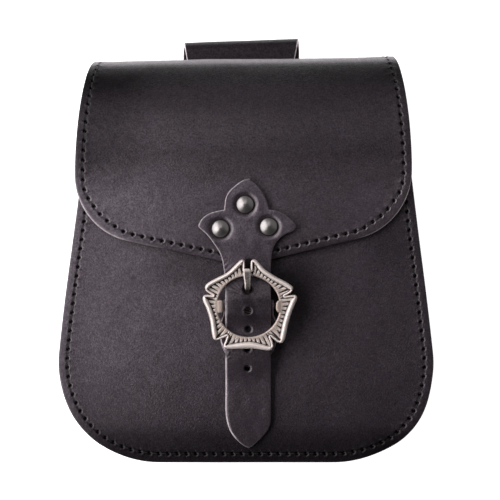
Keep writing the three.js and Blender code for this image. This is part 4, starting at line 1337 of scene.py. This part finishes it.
class Strip:
    """A strip of leather bent along a middle line of distances up the bag and heights."""

    def __init__(self, line, stock, outer):
        """`outer` is 1 if the strip's outer face is on the right of the line, and -1 if it is on the left."""
        self.line, self.stock, self.outer = line, stock, outer
        self.runs = run_along(line)
        self.length = float(self.runs[-1])
        self.along = headings(line)

    def at(self, run, offset):
        """Distance and height of a point of the strip, `offset` above its outer face."""
        y, z = (np.interp(run, self.runs, self.line[:, i]) for i in (0, 1))
        ty, tz = (np.interp(run, self.runs, self.along[:, i]) for i in (0, 1))
        out = self.outer * (np.broadcast_to(offset, len(run)) + self.stock / 2) / np.hypot(ty, tz)
        return y + tz * out, z - ty * out


def chape_outline(length, bar_run):
    skive = 60 - CHAPE_END  # length of its tapered ends
    half = Outline(0, 0.4).bend(8, 0.6, 10.6, skive - 7.5).bend(CHAPE_HALF, skive - 3, CHAPE_HALF, skive)
    half.line(CHAPE_HALF, bar_run - 12).line(CHAPE_BAR_HALF, bar_run - 8).line(CHAPE_BAR_HALF, bar_run + 8)
    half.line(CHAPE_HALF, bar_run + 12).line(CHAPE_HALF, length - skive)
    half.bend(CHAPE_HALF, length - skive + 3, 10.6, length - skive + 7.5)
    half.bend(8, length - 0.6, 0, length - 0.4)
    return half.mirrored()


def buckle_chape():
    line = chape_line()
    strip = Strip(line, CHAPE_STOCK, 1)
    bar_run = float(strip.runs[np.argmax(line[:, 0])])

    def place(plan, offset):
        return from_buckle(np.stack([plan[:, 0], *strip.at(plan[:, 1], offset)], 1))

    low, high = bar_run - 5.4, bar_run + 6.2
    slot = np.array([(-2.1, low), (2.1, low), (2.1, high), (-2.1, high)])
    plate = Plate(chape_outline(strip.length, bar_run), CHAPE_SPACING, STRIP_INSETS, 0.6, [slot])
    rise = uneven(plate.plan, CHAPE_WAVES)
    points, faces, marks = plate.solid(place, CHAPE_STOCK, rise, rounding=THIN_ROUND)
    marks["painted_shade"] = np.zeros(len(points))
    # painted light: the cut edges paler on the left, and all of them painted lighter and shinier
    marks["pale_edge_and_highlight"][:len(plate.plan)] *= 1 + 1.8 * smooth(0, -5, plate.plan[:, 0])
    marks["painted_light"] = np.clip(marks["pale_edge_and_highlight"], 0, 1)
    dressed("buckle_chape_leather", points, faces, marks, STRAP_LEATHER, "strap_leather", ["buckle_chape"])


# ---- belt loop


def loop_line():
    """Middle line of the loop's strip on the floor, from its upper seam round the fold to its lower seam."""
    def on_back(y):
        return y * math.tan(TILT) - (GAP + LOOP / 2) / math.cos(TILT)

    low_end, low_seam = LOOP_LOW_SEAM
    high_end, high_seam = LOOP_HIGH_SEAM
    floor, top = LOOP / 2, 10.3
    radius = (top - floor) / 2
    fold = LOOP_END - radius - LOOP / 2
    line = Outline(high_end, on_back(high_end)).line(high_seam, on_back(high_seam))
    line.bend(fold - 7, top + 0.15, fold, top, 24)
    line.arc(fold, floor + radius, radius, math.pi / 2, -math.pi / 2, 40)
    line.line(LOOP_FLAT_FROM, floor)
    line.bend(LOOP_FLAT_FROM - 6, floor, (LOOP_FLAT_FROM + low_seam) / 2, (floor + on_back(low_seam)) / 2)
    line.bend(low_seam + 6, on_back(low_seam) + 0.2, low_seam, on_back(low_seam))
    line.line(low_end, on_back(low_end))
    return resampled(np.array(line.points), 0.7, closed=False)


def belt_loop():
    strip = Strip(loop_line(), LOOP, -1)

    def place(plan, offset):
        x, run = plan.T
        y, z = strip.at(run, offset)
        y += LOOP_SKEW * x + LOOP_RISE * smooth(190, 200, np.interp(run, strip.runs, strip.line[:, 0]))
        return np.stack([x + LOOP_SHIFT, y, np.maximum(z, 0)], 1)

    half = Outline(0, 0)
    for run in np.linspace(0, strip.length, 60):
        half.line((LOOP_UPPER + (LOOP_LOWER - LOOP_UPPER) * smooth(*LOOP_WIDENS, run)) / 2, run)
    half.line(0, strip.length)
    rows = []
    for width, runs in ((LOOP_UPPER, (5, 14)), (LOOP_LOWER, (strip.length - 4, strip.length - 12))):
        rows += [Row([(4 - width / 2, run), (width / 2 - 4, run)], BODY_PITCH) for run in runs]
    holes = np.vstack([row.holes for row in rows])
    plate = Plate(half.mirrored(), LOOP_SPACING, STRIP_INSETS + (1.6,), edge_step=0.6, marks=holes,
                  mark_spacing=0.36)
    under, painted_shade = np.zeros((2, len(plate.plan)))
    for row in rows:
        rise, shade, _ = row.relief(plate.plan)
        under -= rise
        painted_shade = np.maximum(painted_shade, shade)
    points, faces, marks = plate.solid(place, LOOP, uneven(plate.plan, LOOP_WAVES), under)
    # the rows are pressed into its inner face, with painted shade at their holes
    marks["painted_shade"] = padded(np.concatenate([np.zeros(len(painted_shade)), painted_shade]), points)
    # painted shade darkens the loop's face; its cut edges are paler, partly in their own colour and partly as
    # painted highlight, and painted lighter and shinier
    marks["pale_edge_and_highlight"] *= 3
    marks["painted_light"] = -0.6 + 1.8 * np.clip(marks["pale_edge_and_highlight"], 0, 1)
    dressed("belt_loop_leather", points, faces, marks, STRAP_LEATHER, "strap_leather", ["belt_loop"],
            from_floor)
    parts = []
    for row in rows:
        parts += row.thread(lambda plan, height: place(plan, -LOOP - height))
    threads("belt_loop_stitches", parts, from_floor)


# ---- assembly
front_panel()
back_and_flap()
gusset()
closure_strap()
for rivet_name, (rivet_x, rivet_y) in RIVETS.items():
    head_rivet(rivet_name, rivet_x, rivet_y)
buckle_frame()
buckle_prong()
buckle_chape()
belt_loop()

# ---- floor, light and camera
PICTURE_CENTRE = (1.79, 103.3, 45.0)  # the point of the bag that the camera looks at
CAMERA_AWAY, PICTURE_SPAN = 1000.0, 242.5  # at that point the picture spans 242.5 mm
FLOOR = 12.0  # metres across
GLOW, FAR_GLOW, GLOW_REACH = 1.0, 0.35, (0.19, 0.25)  # it glows white round the bag, less from 0.25 m on
SKY = 0.02


def floor():
    mesh = bpy.data.meshes.new("floor")
    half = FLOOR / 2
    corners = [(-half, -half, 0), (half, -half, 0), (half, half, 0), (-half, half, 0)]
    mesh.from_pydata(corners, [], [(0, 1, 2, 3)])
    m = Nodes("floor")
    away = m.add("ShaderNodeVectorMath", {"Vector": m.place}, operation="LENGTH").outputs["Value"]
    glow = m.between(away, *GLOW_REACH, GLOW, FAR_GLOW)
    m.finish(Base_Color=(0.8, 0.8, 0.8, 1), Roughness=0.9, Emission_Color=(1, 1, 1, 1),
             Emission_Strength=glow)
    mesh.materials.append(m.material)
    piece = bpy.data.objects.new("floor", mesh)
    bpy.context.scene.collection.objects.link(piece)


# the lamps round the bag: place in metres, width and height, power in watts
LAMPS = {
    "window": ((-0.515, 0.072, 0.468), (1.3, 0.5), 8.4),
    "far_lamp": ((0, 0.35, 0.606), (0.5, 0.5), 0.9),
    "near_fill": ((0.56, 0.2, 0.37), (1.2, 0.4), 0.5),
}


def light(name, place, size, power):
    """A soft lamp `size` high and wide, aimed at the origin."""
    data = bpy.data.lights.new(name, "AREA")
    data.shape = "ELLIPSE"
    data.size, data.size_y = size
    data.energy = power
    lamp = bpy.data.objects.new(name, data)
    lamp.location = place
    lamp.rotation_euler = (-Vector(place)).to_track_quat("-Z", "Y").to_euler()
    bpy.context.scene.collection.objects.link(lamp)


def camera():
    data = bpy.data.cameras.new("camera")
    data.angle = 2 * math.atan(PICTURE_SPAN / 2 / CAMERA_AWAY)
    eye = bpy.data.objects.new("camera", data)
    x, y, z = PICTURE_CENTRE
    eye.location = to_world(np.array([[x, y, z + CAMERA_AWAY]]))[0]
    eye.rotation_euler = (TILT, 0, 0)
    bpy.context.scene.collection.objects.link(eye)
    bpy.context.scene.camera = eye


floor()
for lamp_name, lamp_setting in LAMPS.items():
    light(lamp_name, *lamp_setting)
camera()

world = bpy.data.worlds.new("studio")
world.use_nodes = True
sky = world.node_tree.nodes["Background"].inputs
sky["Color"].default_value = (1, 1, 1, 1)
sky["Strength"].default_value = SKY
bpy.context.scene.world = world
bpy.context.scene.view_settings.view_transform = "Standard"
